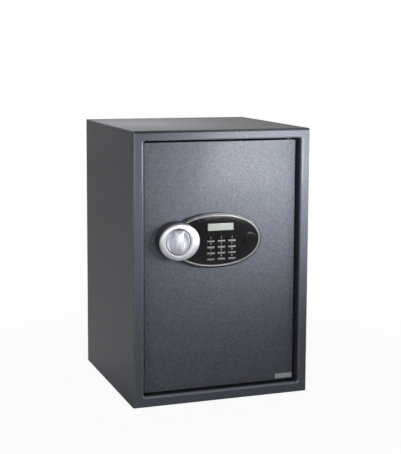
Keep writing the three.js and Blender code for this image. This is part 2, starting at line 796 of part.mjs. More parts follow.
// The raised bar across the knob, with a short ridge and four sloping faces.
function knobGrip(dishFloor) {
  const layer = (y, bottomWidth, topWidth, halfHeight, above = 0) => ({
    y,
    points: [
      new THREE.Vector2(-bottomWidth / 2, above - halfHeight),
      new THREE.Vector2(bottomWidth / 2, above - halfHeight),
      new THREE.Vector2(topWidth / 2, above + halfHeight),
      new THREE.Vector2(-topWidth / 2, above + halfHeight),
    ],
  });
  const ridge = [GRIP_RIDGE_WIDTH, GRIP_RIDGE_WIDTH, GRIP_RIDGE / 2, GRIP_RIDGE_ABOVE];
  const bar = loft([
    layer(onBase - GRIP_HEIGHT, ...ridge),
    layer(onBase - GRIP_SHOULDER, GRIP_BOTTOM_WIDTH, GRIP_TOP_WIDTH, KNOB_RADIUS),
    layer(dishFloor + BEYOND, GRIP_BOTTOM_WIDTH, GRIP_TOP_WIDTH, KNOB_RADIUS),
  ]);
  const reach = [onBase - GRIP_HEIGHT - BEYOND, onBase];
  return bar.intersect(rod("y", 2 * KNOB_RADIUS - SEAT, reach, [0, 0], 2 * ROUND_SIDES));
}

// The knob about its own axis, with its grip upright.
function knob() {
  const rimFront = onBase - KNOB_RIM_HEIGHT;
  const dishFloor = rimFront + KNOB_DISH_DEPTH;
  const inner = KNOB_RADIUS - KNOB_RIM_WIDTH;
  const profile = [
    [0, dishFloor],
    [inner - KNOB_DISH_DEPTH, dishFloor],
    [inner, rimFront + RUNNING],
    [inner + KNOB_RIM_WIDTH / 3, rimFront],
    [KNOB_RADIUS - RUNNING, rimFront],
    [KNOB_RADIUS, rimFront + RUNNING],
    [KNOB_RADIUS, onBase],
    [0, onBase],
  ].map(([radius, y]) => new THREE.Vector2(radius, y));
  const disc = solid(new THREE.LatheGeometry(profile, 2 * ROUND_SIDES));
  const socket = [onBase - SPINDLE_IN_KNOB - SEAT, onBase + BEYOND];
  return cut(
    join(disc, knobGrip(dishFloor)),
    rod("y", SPINDLE + 2 * SEAT, socket, [0, 0]),
  );
}

// The bezel's outline, widened by a margin.
function bezelOval(margin) {
  const centre = [bezelX, knobZ];
  return ovalPoints(centre, BEZEL_HALF_WIDTH + margin, BEZEL_HALF_HEIGHT + margin);
}

// The boss that carries the bezel, widened by a margin; its flank leans in to the front.
function bossBlock(margin, [y0, y1]) {
  const lean = BOSS_DRAFT / (BOSS_HEIGHT + BASE_DEPTH);
  return loft([
    { y: y0, points: bezelOval(margin + lean * (y0 - bossFront)) },
    { y: y1, points: bezelOval(margin + lean * (y1 - bossFront)) },
  ]);
}

// The fixed ring round the knob; its outline is wider than high and set off the knob's axis.
function knobBezel() {
  const rim = bezelOval(0);
  const crest = ovalPoints([knobX, knobZ], BEZEL_CREST, BEZEL_CREST);
  const layers = BEZEL_PROFILE.map(([share, rise]) => ({
    y: bezelBack - BEZEL_HEIGHT * rise,
    points: rim.map((point, i) => point.clone().lerp(crest[i], share)),
  }));
  const slope = (BEZEL_CREST - knobBore) / BEZEL_HEIGHT;
  const funnel = [
    [0, bezelFront - BEYOND],
    [BEZEL_CREST + slope * BEYOND, bezelFront - BEYOND],
    [knobBore, bezelBack],
    [knobBore, bezelBack + BEYOND],
    [0, bezelBack + BEYOND],
  ].map(([radius, y]) => new THREE.Vector2(radius, y));
  const hole = new THREE.LatheGeometry(funnel, 2 * OVAL_STEPS).translate(knobX, 0, knobZ);
  return cut(loft(layers.reverse()), solid(hole));
}

function solenoidFrame() {
  const spanX = [solenoidX - SOLENOID_WIDTH / 2, solenoidX + SOLENOID_WIDTH / 2];
  const spanY = [onDoor, solenoidY + SOLENOID_WIDTH / 2];
  const foot = box(spanX, [onDoor, onDoor + SOLENOID_SHEET], [solenoidBottom, solenoidTop]);
  const roof = box(spanX, spanY, [solenoidTop - SOLENOID_SHEET, solenoidTop]);
  const floor = box(spanX, spanY, [solenoidBottom, solenoidBottom + SOLENOID_SHEET]);
  const span = [solenoidTop - SOLENOID_SHEET - BEYOND, solenoidTop + BEYOND];
  const hole = rod("z", PLUNGER + 2 * RUNNING, span, [solenoidX, solenoidY]);
  return cut(join(foot, roof, floor), hole);
}

function solenoidCoil() {
  const low = solenoidBottom + SOLENOID_SHEET + SEAT;
  const high = solenoidTop - SOLENOID_SHEET - SEAT;
  const steps = [
    [COIL_DIAMETER, low + COIL_FLANGE],
    [COIL_WINDING, high - COIL_FLANGE],
    [COIL_DIAMETER, high],
  ];
  const body = turned("z", low, steps, [solenoidX, solenoidY]);
  const bore = [low + COIL_FLANGE, high + BEYOND];
  return cut(body, rod("z", PLUNGER + 2 * RUNNING, bore, [solenoidX, solenoidY]));
}

function solenoidPlunger() {
  const bottom = solenoidBottom + SOLENOID_SHEET + 2 * SEAT + COIL_FLANGE;
  const steps = [
    [PLUNGER, collarBottom],
    [PLUNGER_COLLAR, collarTop],
    [PLUNGER, carriageBottom - PLUNGER_TIP_GAP],
  ];
  return turned("z", bottom, steps, [solenoidX, solenoidY], SMALL_SIDES);
}

// A helix of wire round the plunger, between the solenoid and the plunger's collar.
class SpringCurve extends THREE.Curve {
  getPoint(t, target = new THREE.Vector3()) {
    const angle = 2 * Math.PI * SPRING_TURNS * t;
    const low = springBottom + SPRING_WIRE / 2;
    const climb = (SPRING_LENGTH - SPRING_WIRE) * t;
    return target.set(
      solenoidX + SPRING_RADIUS * Math.cos(angle),
      solenoidY + SPRING_RADIUS * Math.sin(angle),
      low + climb,
    );
  }
}

// Wire rings at even steps along the helix, each square to it, joined into one tube.
function solenoidSpring() {
  const curve = new SpringCurve();
  const sides = SPRING_SIDES;
  const steps = SPRING_TURNS * SPRING_STEPS;
  const vertices = [];
  const up = new THREE.Vector3(0, 0, 1);
  for (let i = 0; i <= steps; i++) {
    const centre = curve.getPoint(i / steps);
    const outward = new THREE.Vector3(centre.x - solenoidX, centre.y - solenoidY, 0).normalize();
    for (let side = 0; side < sides; side++) {
      const angle = (2 * Math.PI * side) / sides;
      const point = centre
        .clone()
        .addScaledVector(outward, (SPRING_WIRE / 2) * Math.cos(angle))
        .addScaledVector(up, (SPRING_WIRE / 2) * Math.sin(angle));
      vertices.push(point.x, point.y, point.z);
    }
  }
  const faces = [];
  for (let i = 0; i < steps; i++) {
    for (let side = 0; side < sides; side++) {
      const here = i * sides;
      const ahead = here + sides;
      const next = (side + 1) % sides;
      faces.push(here + side, ahead + side, here + next);
      faces.push(here + next, ahead + side, ahead + next);
    }
  }
  const end = steps * sides;
  for (let side = 1; side < sides - 1; side++) {
    faces.push(0, side, side + 1, end, end + side + 1, end + side);
  }
  const wire = new THREE.BufferGeometry();
  wire.setAttribute("position", new THREE.Float32BufferAttribute(vertices, 3));
  wire.setIndex(faces);
  return solid(wire);
}

// The opening in the base's front wall, behind the keys and the display.
function boardOpening() {
  const halfX = KEY_PITCH_X + KEY_LENGTH / 2 + KEY_FLANGE + OPENING_MARGIN;
  const keysBottom = keypadTop - 3 * KEY_PITCH_Z - KEY_WIDTH / 2 - KEY_FLANGE;
  const displayTop = windowZ + WINDOW_HEIGHT / 2 + DISPLAY_MARGIN;
  return {
    x: [keypadX - halfX, keypadX + halfX],
    z: [keysBottom - OPENING_MARGIN, displayTop + OPENING_MARGIN / 3],
  };
}

// An oval tray with a tall boss that holds the knob in a round well.
function panelBase() {
  const opening = boardOpening();
  const wallBack = baseFront + BASE_WALL;
  const behind = baseBack + BEYOND;
  const wellWall = 2 * (knobBore + BASE_WALL);
  const innerWidth = BASE_HALF_WIDTH - BASE_WALL;
  const innerHeight = BASE_HALF_HEIGHT - BASE_WALL;
  const knobAxis = [knobX, knobZ];
  const outside = join(
    plate(panelOval(BASE_HALF_WIDTH, BASE_HALF_HEIGHT), [baseFront, baseBack]),
    bossBlock(0, [bossFront, baseBack]),
  );
  const bossHollow = cut(
    bossBlock(-BASE_WALL, [bossFront + BASE_WALL, wallBack + BEYOND]),
    rod("y", wellWall, [bossFront, wallBack], knobAxis, 2 * OVAL_STEPS),
  );
  const shell = cut(
    outside,
    plate(panelOval(innerWidth, innerHeight), [wallBack, behind]),
    bossBlock(-BASE_WALL, [wallBack, behind]),
    bossHollow,
    rod("y", 2 * knobBore, [bossFront - BEYOND, baseFront], knobAxis, 2 * OVAL_STEPS),
  );
  const bearing = rod("y", SPINDLE * 2, [baseFront, baseBack], knobAxis);
  const outer = POST_DIAMETER / 2 + SEAT;
  const postXs = [opening.x[0] - outer, opening.x[1] + outer];
  const postZs = [opening.z[0] + POST_FROM_END, opening.z[1] - POST_FROM_END];
  const postSpan = [baseFront, boardFront - SEAT];
  const posts = postXs.flatMap((x) =>
    postZs.map((z) => rod("y", POST_DIAMETER, postSpan, [x, z], SMALL_SIDES)),
  );
  const through = [baseFront - BEYOND, baseBack + BEYOND];
  return cut(
    join(shell, bearing, ...posts),
    rod("y", SPINDLE + 2 * RUNNING, through, [knobX, knobZ]),
    rod("y", LOCK_DIAMETER + 2 * SEAT, through, [lockX, lockZ]),
    box(opening.x, [baseFront - BEYOND, wallBack + BEYOND], opening.z),
  );
}

function panelRing() {
  const span = [onBase - RING_THICKNESS, onBase];
  const cutSpan = [span[0] - BEYOND, onBase + BEYOND];
  return cut(
    plate(panelOval(RING_HALF_WIDTH, RING_HALF_HEIGHT), span),
    plate(panelOval(RING_HALF_WIDTH - RING_WIDTH, RING_HALF_HEIGHT - RING_WIDTH), cutSpan),
    bossBlock(SEAT, cutSpan),
  );
}

function keyPlaces() {
  const names = ["1", "2", "3", "4", "5", "6", "7", "8", "9", "star", "0", "hash"];
  return names.map((name, i) => ({
    name: `key_${name}`,
    x: keypadX + ((i % 3) - 1) * KEY_PITCH_X,
    z: keypadTop - Math.floor(i / 3) * KEY_PITCH_Z,
  }));
}

function panelFace() {
  const span = [faceFront, onBase];
  const through = [faceFront - BEYOND, onBase + BEYOND];
  const inset = RING_WIDTH + SEAT;
  const halfX = KEY_LENGTH / 2 + SEAT;
  const halfZ = KEY_WIDTH / 2 + SEAT;
  const keyHoles = keyPlaces().map(({ x, z }) =>
    box([x - halfX, x + halfX], through, [z - halfZ, z + halfZ]),
  );
  const window = box(
    [windowX - WINDOW_WIDTH / 2, windowX + WINDOW_WIDTH / 2],
    through,
    [windowZ - WINDOW_HEIGHT / 2, windowZ + WINDOW_HEIGHT / 2],
  );
  return cut(
    plate(panelOval(RING_HALF_WIDTH - inset, RING_HALF_HEIGHT - inset), span),
    bossBlock(SEAT, through),
    rod("y", LOCK_DIAMETER, through, [lockX, lockZ]),
    window,
    ...keyHoles,
  );
}

function lcdWindow() {
  const halfX = WINDOW_WIDTH / 2 - SEAT;
  const halfZ = WINDOW_HEIGHT / 2 - SEAT;
  return box(
    [windowX - halfX, windowX + halfX],
    [faceFront, onBase],
    [windowZ - halfZ, windowZ + halfZ],
  );
}

function lcdModule() {
  const halfX = WINDOW_WIDTH / 2 + DISPLAY_MARGIN;
  const halfZ = WINDOW_HEIGHT / 2 + DISPLAY_MARGIN;
  return box(
    [windowX - halfX, windowX + halfX],
    [onBase + SEAT, boardFront - SEAT],
    [windowZ - halfZ, windowZ + halfZ],
  );
}

function circuitBoard() {
  const opening = boardOpening();
  const margin = POST_DIAMETER + 2 * SEAT;
  return box(
    [opening.x[0] - margin, opening.x[1] + margin],
    [boardFront, boardBack],
    [opening.z[0] + SEAT, opening.z[1] - SEAT],
  );
}

// The rubber mat under the keys; it starts where a pressed key ends.
function keypadMat() {
  const margin = KEY_FLANGE + KEY_MAT_MARGIN;
  const halfX = KEY_PITCH_X + KEY_LENGTH / 2 + margin;
  const bottom = keypadTop - 3 * KEY_PITCH_Z - KEY_WIDTH / 2 - margin;
  return box(
    [keypadX - halfX, keypadX + halfX],
    [keyBack + KEY_TRAVEL + SEAT, boardFront - SEAT],
    [bottom, keypadTop + KEY_WIDTH / 2 + margin],
  );
}

// One key about its own middle: a crowned bar with a flange behind the panel face.
function key() {
  const layer = (y, inset, radius) => ({
    y,
    points: roundedPoints(
      [-KEY_LENGTH / 2 + inset, KEY_LENGTH / 2 - inset],
      [-KEY_WIDTH / 2 + inset, KEY_WIDTH / 2 - inset],
      radius,
      KEY_CORNER_STEPS,
    ),
  });
  const crown = KEY_PROUD / 2;
  const bar = loft([
    layer(keyFront, crown, crown),
    layer(keyFront + crown / 2, crown / 3, 2 * crown),
    layer(keyFront + 2 * crown, 0, 2 * crown),
    layer(keyBack, 0, 2 * crown),
  ]);
  const flange = box(
    [-KEY_LENGTH / 2 - KEY_FLANGE, KEY_LENGTH / 2 + KEY_FLANGE],
    [onBase + SEAT, keyBack],
    [-KEY_WIDTH / 2 - KEY_FLANGE, KEY_WIDTH / 2 + KEY_FLANGE],
  );
  return join(bar, flange);
}

// The round cap that hides the emergency lock, with a spigot in the face's hole.
function overrideCover() {
  const capBack = faceFront - SEAT;
  const spigotEnd = capBack + CAP_SPIGOT_DEPTH;
  const spigot = LOCK_DIAMETER - 2 * SEAT;
  const steps = [
    [CAP_DIAMETER - CAP_STEP, capBack - CAP_THICKNESS / 2],
    [CAP_DIAMETER, capBack],
    [spigot, spigotEnd],
  ];
  const bore = spigot - 2 * CAP_SPIGOT_WALL;
  return cut(
    turned("y", capBack - CAP_THICKNESS, steps, [lockX, lockZ]),
    rod("y", bore, [capBack, spigotEnd + BEYOND], [lockX, lockZ]),
  );
}

function lockCylinder() {
  const steps = [
    [LOCK_DIAMETER, onDoor],
    [LOCK_NUT, onDoor + LOCK_NUT_HEIGHT],
    [LOCK_DIAMETER, lockBack],
  ];
  return cut(
    turned("y", lockFront, steps, [lockX, lockZ]),
    rod("y", PLUG_DIAMETER + 2 * RUNNING, [lockFront - BEYOND, lockBack + BEYOND], [lockX, lockZ]),
  );
}

function lockPlug() {
  const plugFront = lockFront + SEAT;
  const tailEnd = lockBack + PLUG_TAIL_LENGTH;
  const steps = [
    [PLUG_DIAMETER, lockBack + SEAT],
    [PLUG_TAIL, tailEnd],
    [PLUG_DIAMETER, tailEnd + PLUG_HEAD_HEIGHT],
  ];
  const keyway = box(
    [lockX - KEYWAY_WIDTH / 2, lockX + KEYWAY_WIDTH / 2],
    [plugFront - BEYOND, plugFront + KEYWAY_DEPTH],
    [lockZ - KEYWAY_HEIGHT / 2, lockZ + KEYWAY_HEIGHT / 2],
  );
  return cut(turned("y", plugFront, steps, [lockX, lockZ]), keyway);
}

function lockCam() {
  const span = [lockBack + 2 * SEAT, lockBack + PLUG_TAIL_LENGTH - SEAT];
  const tip = [lockX, lockZ - LOCK_CAM_LENGTH];
  const arm = armOutline([lockX, lockZ], LOCK_CAM_RADIUS, tip, LOCK_CAM_TIP_RADIUS);
  return cut(
    plate(arm, span, SMALL_SIDES),
    rod("y", PLUG_TAIL + 2 * SEAT, [span[0] - BEYOND, span[1] + BEYOND], [lockX, lockZ]),
  );
}

function innerCover() {
  const spanX = [coverLeft, coverRight];
  const spanZ = [coverBottom, coverTop];
  const hollow = ([low, high]) => [low + COVER_SHEET, high - COVER_SHEET];
  const pan = cut(
    box(spanX, [onDoor, coverBack], spanZ),
    box(hollow(spanX), [onDoor - BEYOND, coverInside], hollow(spanZ)),
  );
  const boltHole = BOLT_DIAMETER + BOLT_HOLE_CLEARANCE;
  const wallSpan = [coverLeft - BEYOND, coverLeft + COVER_SHEET + BEYOND];
  const sheetSpan = [coverInside - BEYOND, coverBack + BEYOND];
  const screwHole = COVER_SCREW + 2 * SEAT;
  return cut(
    pan,
    ...boltHeights.map((z) => rod("x", boltHole, wallSpan, [boltY, z])),
    box(
      [batteryX - trayHalfWidth, batteryX + trayHalfWidth],
      sheetSpan,
      [batteryZ - trayHalfHeight, batteryZ + trayHalfHeight],
    ),
    rod("y", BUTTON_DIAMETER + 2 * RUNNING, sheetSpan, [buttonX, batteryZ], SMALL_SIDES),
    ...coverScrewPlaces().map((p) => rod("y", screwHole, sheetSpan, p, SMALL_SIDES)),
  );
}

function coverScrew() {
  const steps = [
    [COVER_SCREW, coverBack + SEAT],
    [COVER_SCREW_HEAD, coverBack + SEAT + COVER_SCREW_HEAD_HEIGHT],
  ];
  return turned("y", doorBack - COVER_SCREW_BITE, steps, [0, 0], SMALL_SIDES);
}

// An open tray with a rim under the cover's opening, and a guide for the reset button.
function batteryBox() {
  const block = (grow, span) =>
    box(
      [batteryX - trayHalfWidth - grow, batteryX + trayHalfWidth + grow],
      span,
      [batteryZ - trayHalfHeight - grow, batteryZ + trayHalfHeight + grow],
    );
  const tray = join(
    block(BOX_WALL, [trayFloor - BOX_WALL, trayTop]),
    block(BOX_RIM, [trayTop - BOX_WALL, trayTop]),
  );
  const guideBack = trayTop - BUTTON_FLANGE_THICKNESS - BUTTON_TRAVEL - SEAT;
  const guide = box(
    [batteryX + trayHalfWidth, buttonX + BUTTON_GUIDE / 2 + BOX_WALL],
    [guideBack - BUTTON_GUIDE, guideBack],
    [batteryZ - BUTTON_GUIDE, batteryZ + BUTTON_GUIDE],
  );
  const bore = [guideBack - BUTTON_GUIDE - BEYOND, guideBack + BEYOND];
  const flangeRoom = box(
    [buttonX - BUTTON_FLANGE / 2 - RUNNING, buttonX + BUTTON_FLANGE],
    [guideBack, trayTop + BEYOND],
    [batteryZ - BUTTON_FLANGE, batteryZ + BUTTON_FLANGE],
  );
  return cut(
    join(tray, guide),
    block(0, [trayFloor, trayTop + BEYOND]),
    flangeRoom,
    rod("y", BUTTON_DIAMETER + 2 * RUNNING, bore, [buttonX, batteryZ], SMALL_SIDES),
  );
}

// Four cells side by side, head to tail, joined by the box's contact strips.
function batterySet() {
  const half = CELL_LENGTH / 2;
  const parts = [];
  for (let i = 0; i < CELL_COUNT; i++) {
    const x = batteryX + (i - (CELL_COUNT - 1) / 2) * cellPitch;
    const end = i % 2 ? -1 : 1;
    const can = [batteryZ - half + CELL_NUB_HEIGHT, batteryZ + half - CELL_NUB_HEIGHT];
    const nub = end > 0 ? [can[0], batteryZ + half] : [batteryZ - half, can[1]];
    parts.push(rod("z", CELL_DIAMETER, can, [x, cellY]));
    parts.push(rod("z", CELL_NUB, nub, [x, cellY], SMALL_SIDES));
    if (i === CELL_COUNT - 1) continue;
    const reach = [half - CELL_NUB_HEIGHT, half + CONTACT_SHEET];
    const spanX = [x - CONTACT_WIDTH / 2, x + cellPitch + CONTACT_WIDTH / 2];
    const spanY = [cellY - CONTACT_WIDTH / 2, cellY + CONTACT_WIDTH / 2];
    const spanZ = end > 0 ? reach : [-reach[1], -reach[0]];
    parts.push(box(spanX, spanY, spanZ.map((z) => batteryZ + z)));
  }
  return join(...parts);
}

function batteryCover() {
  const coverFront = coverBack + SEAT;
  const lid = (grow, span) =>
    box(
      [batteryX - trayHalfWidth - grow, batteryX + trayHalfWidth + grow],
      span,
      [batteryZ - trayHalfHeight - grow, batteryZ + trayHalfHeight + grow],
    );
  const plateSpan = [coverFront, coverFront + BATTERY_COVER_SHEET];
  const lipSpan = [coverBack - COVER_SHEET, coverFront + BATTERY_COVER_SHEET / 2];
  const lip = cut(
    lid(-SEAT, lipSpan),
    lid(-SEAT - BATTERY_COVER_SHEET, [lipSpan[0] - BEYOND, coverFront]),
  );
  return join(lid(BATTERY_COVER_LIP, plateSpan), lip);
}

function resetButton() {
  const flangeBack = trayTop;
  const flangeFront = flangeBack - BUTTON_FLANGE_THICKNESS;
  const steps = [
    [BUTTON_DIAMETER, flangeFront],
    [BUTTON_FLANGE, flangeBack],
    [BUTTON_DIAMETER, coverBack + BUTTON_PROUD],
  ];
  const start = flangeFront - BUTTON_TRAVEL - SEAT - BUTTON_GUIDE / 2;
  return turned("y", start, steps, [buttonX, batteryZ], SMALL_SIDES);
}

// Materials
const finish = (color, roughness, metalness) =>
  new THREE.MeshStandardMaterial({ color, roughness, metalness });
const powderCoat = finish(0x4a4b52, 0.55, 0.2);
const zincSteel = finish(0xb9bcc0, 0.4, 0.9);
const steel = finish(0x8f9398, 0.35, 0.95);
const chrome = finish(0xdadcdf, 0.18, 1);
const satinSilver = finish(0xc9ccd0, 0.35, 0.8);
const blackPlastic = finish(0x16171a, 0.45, 0);
const glossBlack = finish(0x0c0d10, 0.2, 0);
const felt = finish(0x2c2e33, 0.95, 0);
const brass = finish(0xb69a55, 0.4, 0.9);
const copper = finish(0xa4622f, 0.45, 0.8);
const displayGlass = finish(0xbcc6be, 0.15, 0);
const boardGreen = finish(0x1f5a35, 0.5, 0.1);
const rubber = finish(0x2a2b2e, 0.8, 0);
const redPlastic = finish(0xb3261e, 0.4, 0);
const cellSleeve = finish(0x35383d, 0.4, 0.3);

function piece(name, body, material, position = [0, 0, 0]) {
  const mesh = new THREE.Mesh(geometryOf(body), material);
  mesh.name = name;
  mesh.position.set(...position);
  return mesh;
}

function assembly(...pieces) {
  const group = new THREE.Group();
  group.add(...pieces);
  return group;
}

function cabinet() {
  const bushBody = hingeBush();
  const bushTop = piece("hinge_bush_top", bushBody, brass, [hingeX, hingeY, doorTop]);
  const bushBottom = piece("hinge_bush_bottom", bushBody, brass, [hingeX, hingeY, doorBottom]);
  bushBottom.rotation.x = Math.PI;
  return assembly(
    piece("cabinet_shell", cabinetShell(), powderCoat),
    piece("back_panel", backPanel(), powderCoat),
    piece("shelf", shelf(), powderCoat),
    piece("shelf_bracket_left", shelfBracket(-1), powderCoat),
    piece("shelf_bracket_right", shelfBracket(1), powderCoat),
    piece("floor_mat", floorMat(), felt),
    bushTop,
    bushBottom,
  );
}

function doorWithHinge() {
  const block = hingeBlock();
  const pin = hingePin();
  const lower = assembly(
    piece("hinge_block_bottom", block, powderCoat),
    piece("hinge_pin_bottom", pin, steel),
  );
  lower.position.set(hingeX, hingeY, doorBottom);
  lower.scale.z = -1;
  return assembly(
    piece("door_plate", doorPlate(), powderCoat),
    piece("name_plate", namePlate(), satinSilver),
    piece("hinge_block_top", block, powderCoat, [hingeX, hingeY, doorTop]),
    piece("hinge_pin_top", pin, steel, [hingeX, hingeY, doorTop]),
    lower,
  );
}

function boltWork() {
  const [upper, lower] = boltHeights;
  const [screwUpper, screwLower] = screwHeights;
  const boltBody = bolt();
  const screw = carriageScrew();
  return assembly(
    piece("bolt_guide", boltGuide(), zincSteel),
    piece("bolt_carriage", boltCarriage(), zincSteel),
    piece("bolt_upper", boltBody, steel, [0, 0, upper]),
    piece("bolt_lower", boltBody, steel, [0, 0, lower]),
    piece("carriage_screw_upper", screw, zincSteel, [0, 0, screwUpper]),
    piece("carriage_screw_lower", screw, zincSteel, [0, 0, screwLower]),
  );
}

function knobWork() {
  const knobMesh = piece("knob", knob(), chrome, [knobX, 0, knobZ]);
  knobMesh.rotation.y = THREE.MathUtils.degToRad(GRIP_LEAN);
  return assembly(
    knobMesh,
    piece("knob_bezel", knobBezel(), chrome),
    piece("spindle", spindle(), steel),
    piece("drive_cam", driveCam(), zincSteel),
  );
}

function solenoid() {
  return assembly(
    piece("solenoid_frame", solenoidFrame(), zincSteel),
    piece("solenoid_coil", solenoidCoil(), copper),
    piece("solenoid_plunger", solenoidPlunger(), steel),
    piece("solenoid_spring", solenoidSpring(), steel),
  );
}

function controlPanel() {
  const keyBody = key();
  const keys = keyPlaces().map(({ name, x, z }) =>
    piece(name, keyBody, satinSilver, [x, 0, z]),
  );
  return assembly(
    piece("panel_base", panelBase(), blackPlastic),
    piece("panel_ring", panelRing(), chrome),
    piece("panel_face", panelFace(), glossBlack),
    piece("lcd_window", lcdWindow(), displayGlass),
    piece("lcd_module", lcdModule(), displayGlass),
    piece("circuit_board", circuitBoard(), boardGreen),
    piece("keypad_mat", keypadMat(), rubber),
    ...keys,
  );
}

function emergencyLock() {
  return assembly(
    piece("override_cover", overrideCover(), blackPlastic),
    piece("lock_cylinder", lockCylinder(), brass),
    piece("lock_plug", lockPlug(), brass),
    piece("lock_cam", lockCam(), zincSteel),
  );
}

function innerCoverWork() {
  const screw = coverScrew();
  const screws = coverScrewPlaces().map(([x, z], i) =>
    piece(`cover_screw_${i + 1}`, screw, zincSteel, [x, 0, z]),
  );
  return assembly(
    piece("inner_cover", innerCover(), powderCoat),
    piece("battery_box", batteryBox(), blackPlastic),
    piece("battery_set", batterySet(), cellSleeve),
    piece("battery_cover", batteryCover(), blackPlastic),
    piece("reset_button", resetButton(), redPlastic),
    ...screws,
  );
}

const safe = assembly(
  cabinet(),
  doorWithHinge(),
  boltWork(),
  knobWork(),
  solenoid(),
  controlPanel(),
  emergencyLock(),
  innerCoverWork(),
);

export default safe;
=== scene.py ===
"""An electronic safe: steel cabinet, recessed door, control panel with keypad and knob.

Metres, in the frame's axes: X to the right, Y to the back, Z up. The front faces -Y.
"""

import json
import math

import bmesh
import bpy
from mathutils import Matrix, Vector


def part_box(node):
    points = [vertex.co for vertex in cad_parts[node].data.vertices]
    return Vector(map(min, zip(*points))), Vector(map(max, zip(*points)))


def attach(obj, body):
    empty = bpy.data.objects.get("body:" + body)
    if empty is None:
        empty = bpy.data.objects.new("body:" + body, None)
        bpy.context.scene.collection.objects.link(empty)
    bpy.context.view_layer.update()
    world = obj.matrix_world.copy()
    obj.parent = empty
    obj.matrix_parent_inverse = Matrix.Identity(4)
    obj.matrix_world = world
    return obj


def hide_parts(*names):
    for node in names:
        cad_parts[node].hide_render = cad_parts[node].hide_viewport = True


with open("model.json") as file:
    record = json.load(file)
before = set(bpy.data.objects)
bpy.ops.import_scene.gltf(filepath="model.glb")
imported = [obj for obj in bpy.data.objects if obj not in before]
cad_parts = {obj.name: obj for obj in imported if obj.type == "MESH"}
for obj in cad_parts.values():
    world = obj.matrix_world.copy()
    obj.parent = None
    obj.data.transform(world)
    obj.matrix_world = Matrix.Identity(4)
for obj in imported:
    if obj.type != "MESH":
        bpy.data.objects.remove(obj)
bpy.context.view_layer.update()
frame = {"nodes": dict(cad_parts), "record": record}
nodes = frame["nodes"]

MM = 0.001
SEAT = 0.3 * MM

# Cabinet
SHEET = 2 * MM
FOLD_RADIUS = 4.5 * MM
FOLD_SUPPORT = 0.3 * MM
FAR_FOLD_SHARE = 0.5
LONG_EDGE_RADIUS = 2.5 * MM
LEAST_LONG_EDGE = 0.3 * MM
FRAME_FACE = 18.5 * MM
FRAME_FACE_LEFT = 21.5 * MM
FRAME_RETURN = 48 * MM
SILL_LIP = 2.6 * MM
SILL_LIP_DEPTH = 12 * MM
OPENING_CORNER = 3 * MM
INSIDE_CORNER = 0.5 * MM
DOOR_EDGE_RADIUS = 0.9 * MM
DOOR_LEFT_TRIM = 3 * MM
DOOR_CORNER = 2 * MM
DOOR_EDGE_STEPS = 4
BOLT_HOLE = 18 * MM
BUSH_HOLE = 14 * MM
SPINDLE_HOLE = 8.8 * MM
LOCK_HOLE = 18.6 * MM
ANCHOR_HOLE = 12 * MM
ANCHOR_FROM_BACK = 115 * MM
ANCHOR_XS = (-80 * MM, 80 * MM)
MAT_CORNER = 4 * MM
MAT_EDGE = 0.8 * MM
MAT_HOLE_MARGIN = 1 * MM

# Control panel
PANEL_SQUARENESS = 2.15
BASE_HALF_WIDTH = 90.3 * MM
BASE_HALF_HEIGHT = 52 * MM
BASE_DEPTH = 10 * MM
BASE_EDGE = 1.2 * MM
BOARD_ROOM = 1 * MM
BOSS_DRAFT = 1.6 * MM
BOSS_EDGE = 0.7 * MM
RING_INSET = 2.8 * MM
RING_WIDTH = 3.8 * MM
RING_THICKNESS = 2 * MM
RING_FOOT = 0.5 * MM
FACE_THICKNESS = 1.2 * MM
FACE_EDGE = 0.25 * MM
FACE_LOCK_HOLE = 18 * MM
WINDOW_CORNER = 0.8 * MM
DISPLAY_RECESS = 0.6 * MM
DISPLAY_CORNER = 0.6 * MM
DISPLAY_EDGE = 0.15 * MM
CAP_EDGE = 0.6 * MM
CAP_CROWN = 0.15 * MM
CAP_CROWN_AT = 0.6
CAP_SPIGOT = 8.7 * MM
CAP_SPIGOT_WALL = 1.5 * MM
NAME_PLATE_CORNER = 1 * MM
NAME_PLATE_EDGE = 0.3 * MM

# Keys and the characters printed above them
KEY_LENGTH = 15.4 * MM
KEY_WIDTH = 3.8 * MM
KEY_CORNER = 1.2 * MM
KEY_LEAST_CORNER = 0.15 * MM
KEY_CROWN = 0.9 * MM
KEY_FLANGE_CORNER = 0.6 * MM
LEGENDS = {"key_star": "*", "key_hash": "#"}
LEGENDS.update({"key_%d" % digit: str(digit) for digit in range(10)})
KEY_NODES = list(LEGENDS)
LEGEND_SIZE = 6.4 * MM
LEGEND_THICKNESS = 0.03 * MM
LEGEND_ABOVE_KEY = 6.3 * MM

# Knob and bezel
KNOB_RADIUS = 22.8 * MM
KNOB_BORE = 23.9 * MM
KNOB_RIM_HEIGHT = 12 * MM
KNOB_DISH = 4.5 * MM
KNOB_LIP = 2 * MM
KNOB_LIP_EDGE = 0.5 * MM
KNOB_LIP_DROP = 0.3 * MM
KNOB_SCOOP = 10 * MM
KNOB_EDGE = 0.7 * MM
GRIP_BOTTOM = 22 * MM
GRIP_TOP = 18 * MM
GRIP_SHOULDER = 14.4 * MM
GRIP_HEIGHT = 19 * MM
GRIP_RIDGE = 17.5 * MM
GRIP_RIDGE_WIDTH = 1.2 * MM
GRIP_RIDGE_ABOVE = 2.6 * MM
GRIP_EDGE = 0.5 * MM
GRIP_END_GAP = 0.2 * MM
GRIP_LEAN = 4
BEZEL_HALF_WIDTH = 39.3 * MM
BEZEL_HALF_HEIGHT = 34.7 * MM
BEZEL_CREST = 26.4 * MM
BEZEL_LEAD = 0.91
BEZEL_RISE = 0.9
# Past the crest: how far in from it, and how far behind it
BEZEL_FALL = ((0.35 * MM, 0.04 * MM), (0.6 * MM, 0.16 * MM), (0.78 * MM, 0.4 * MM))

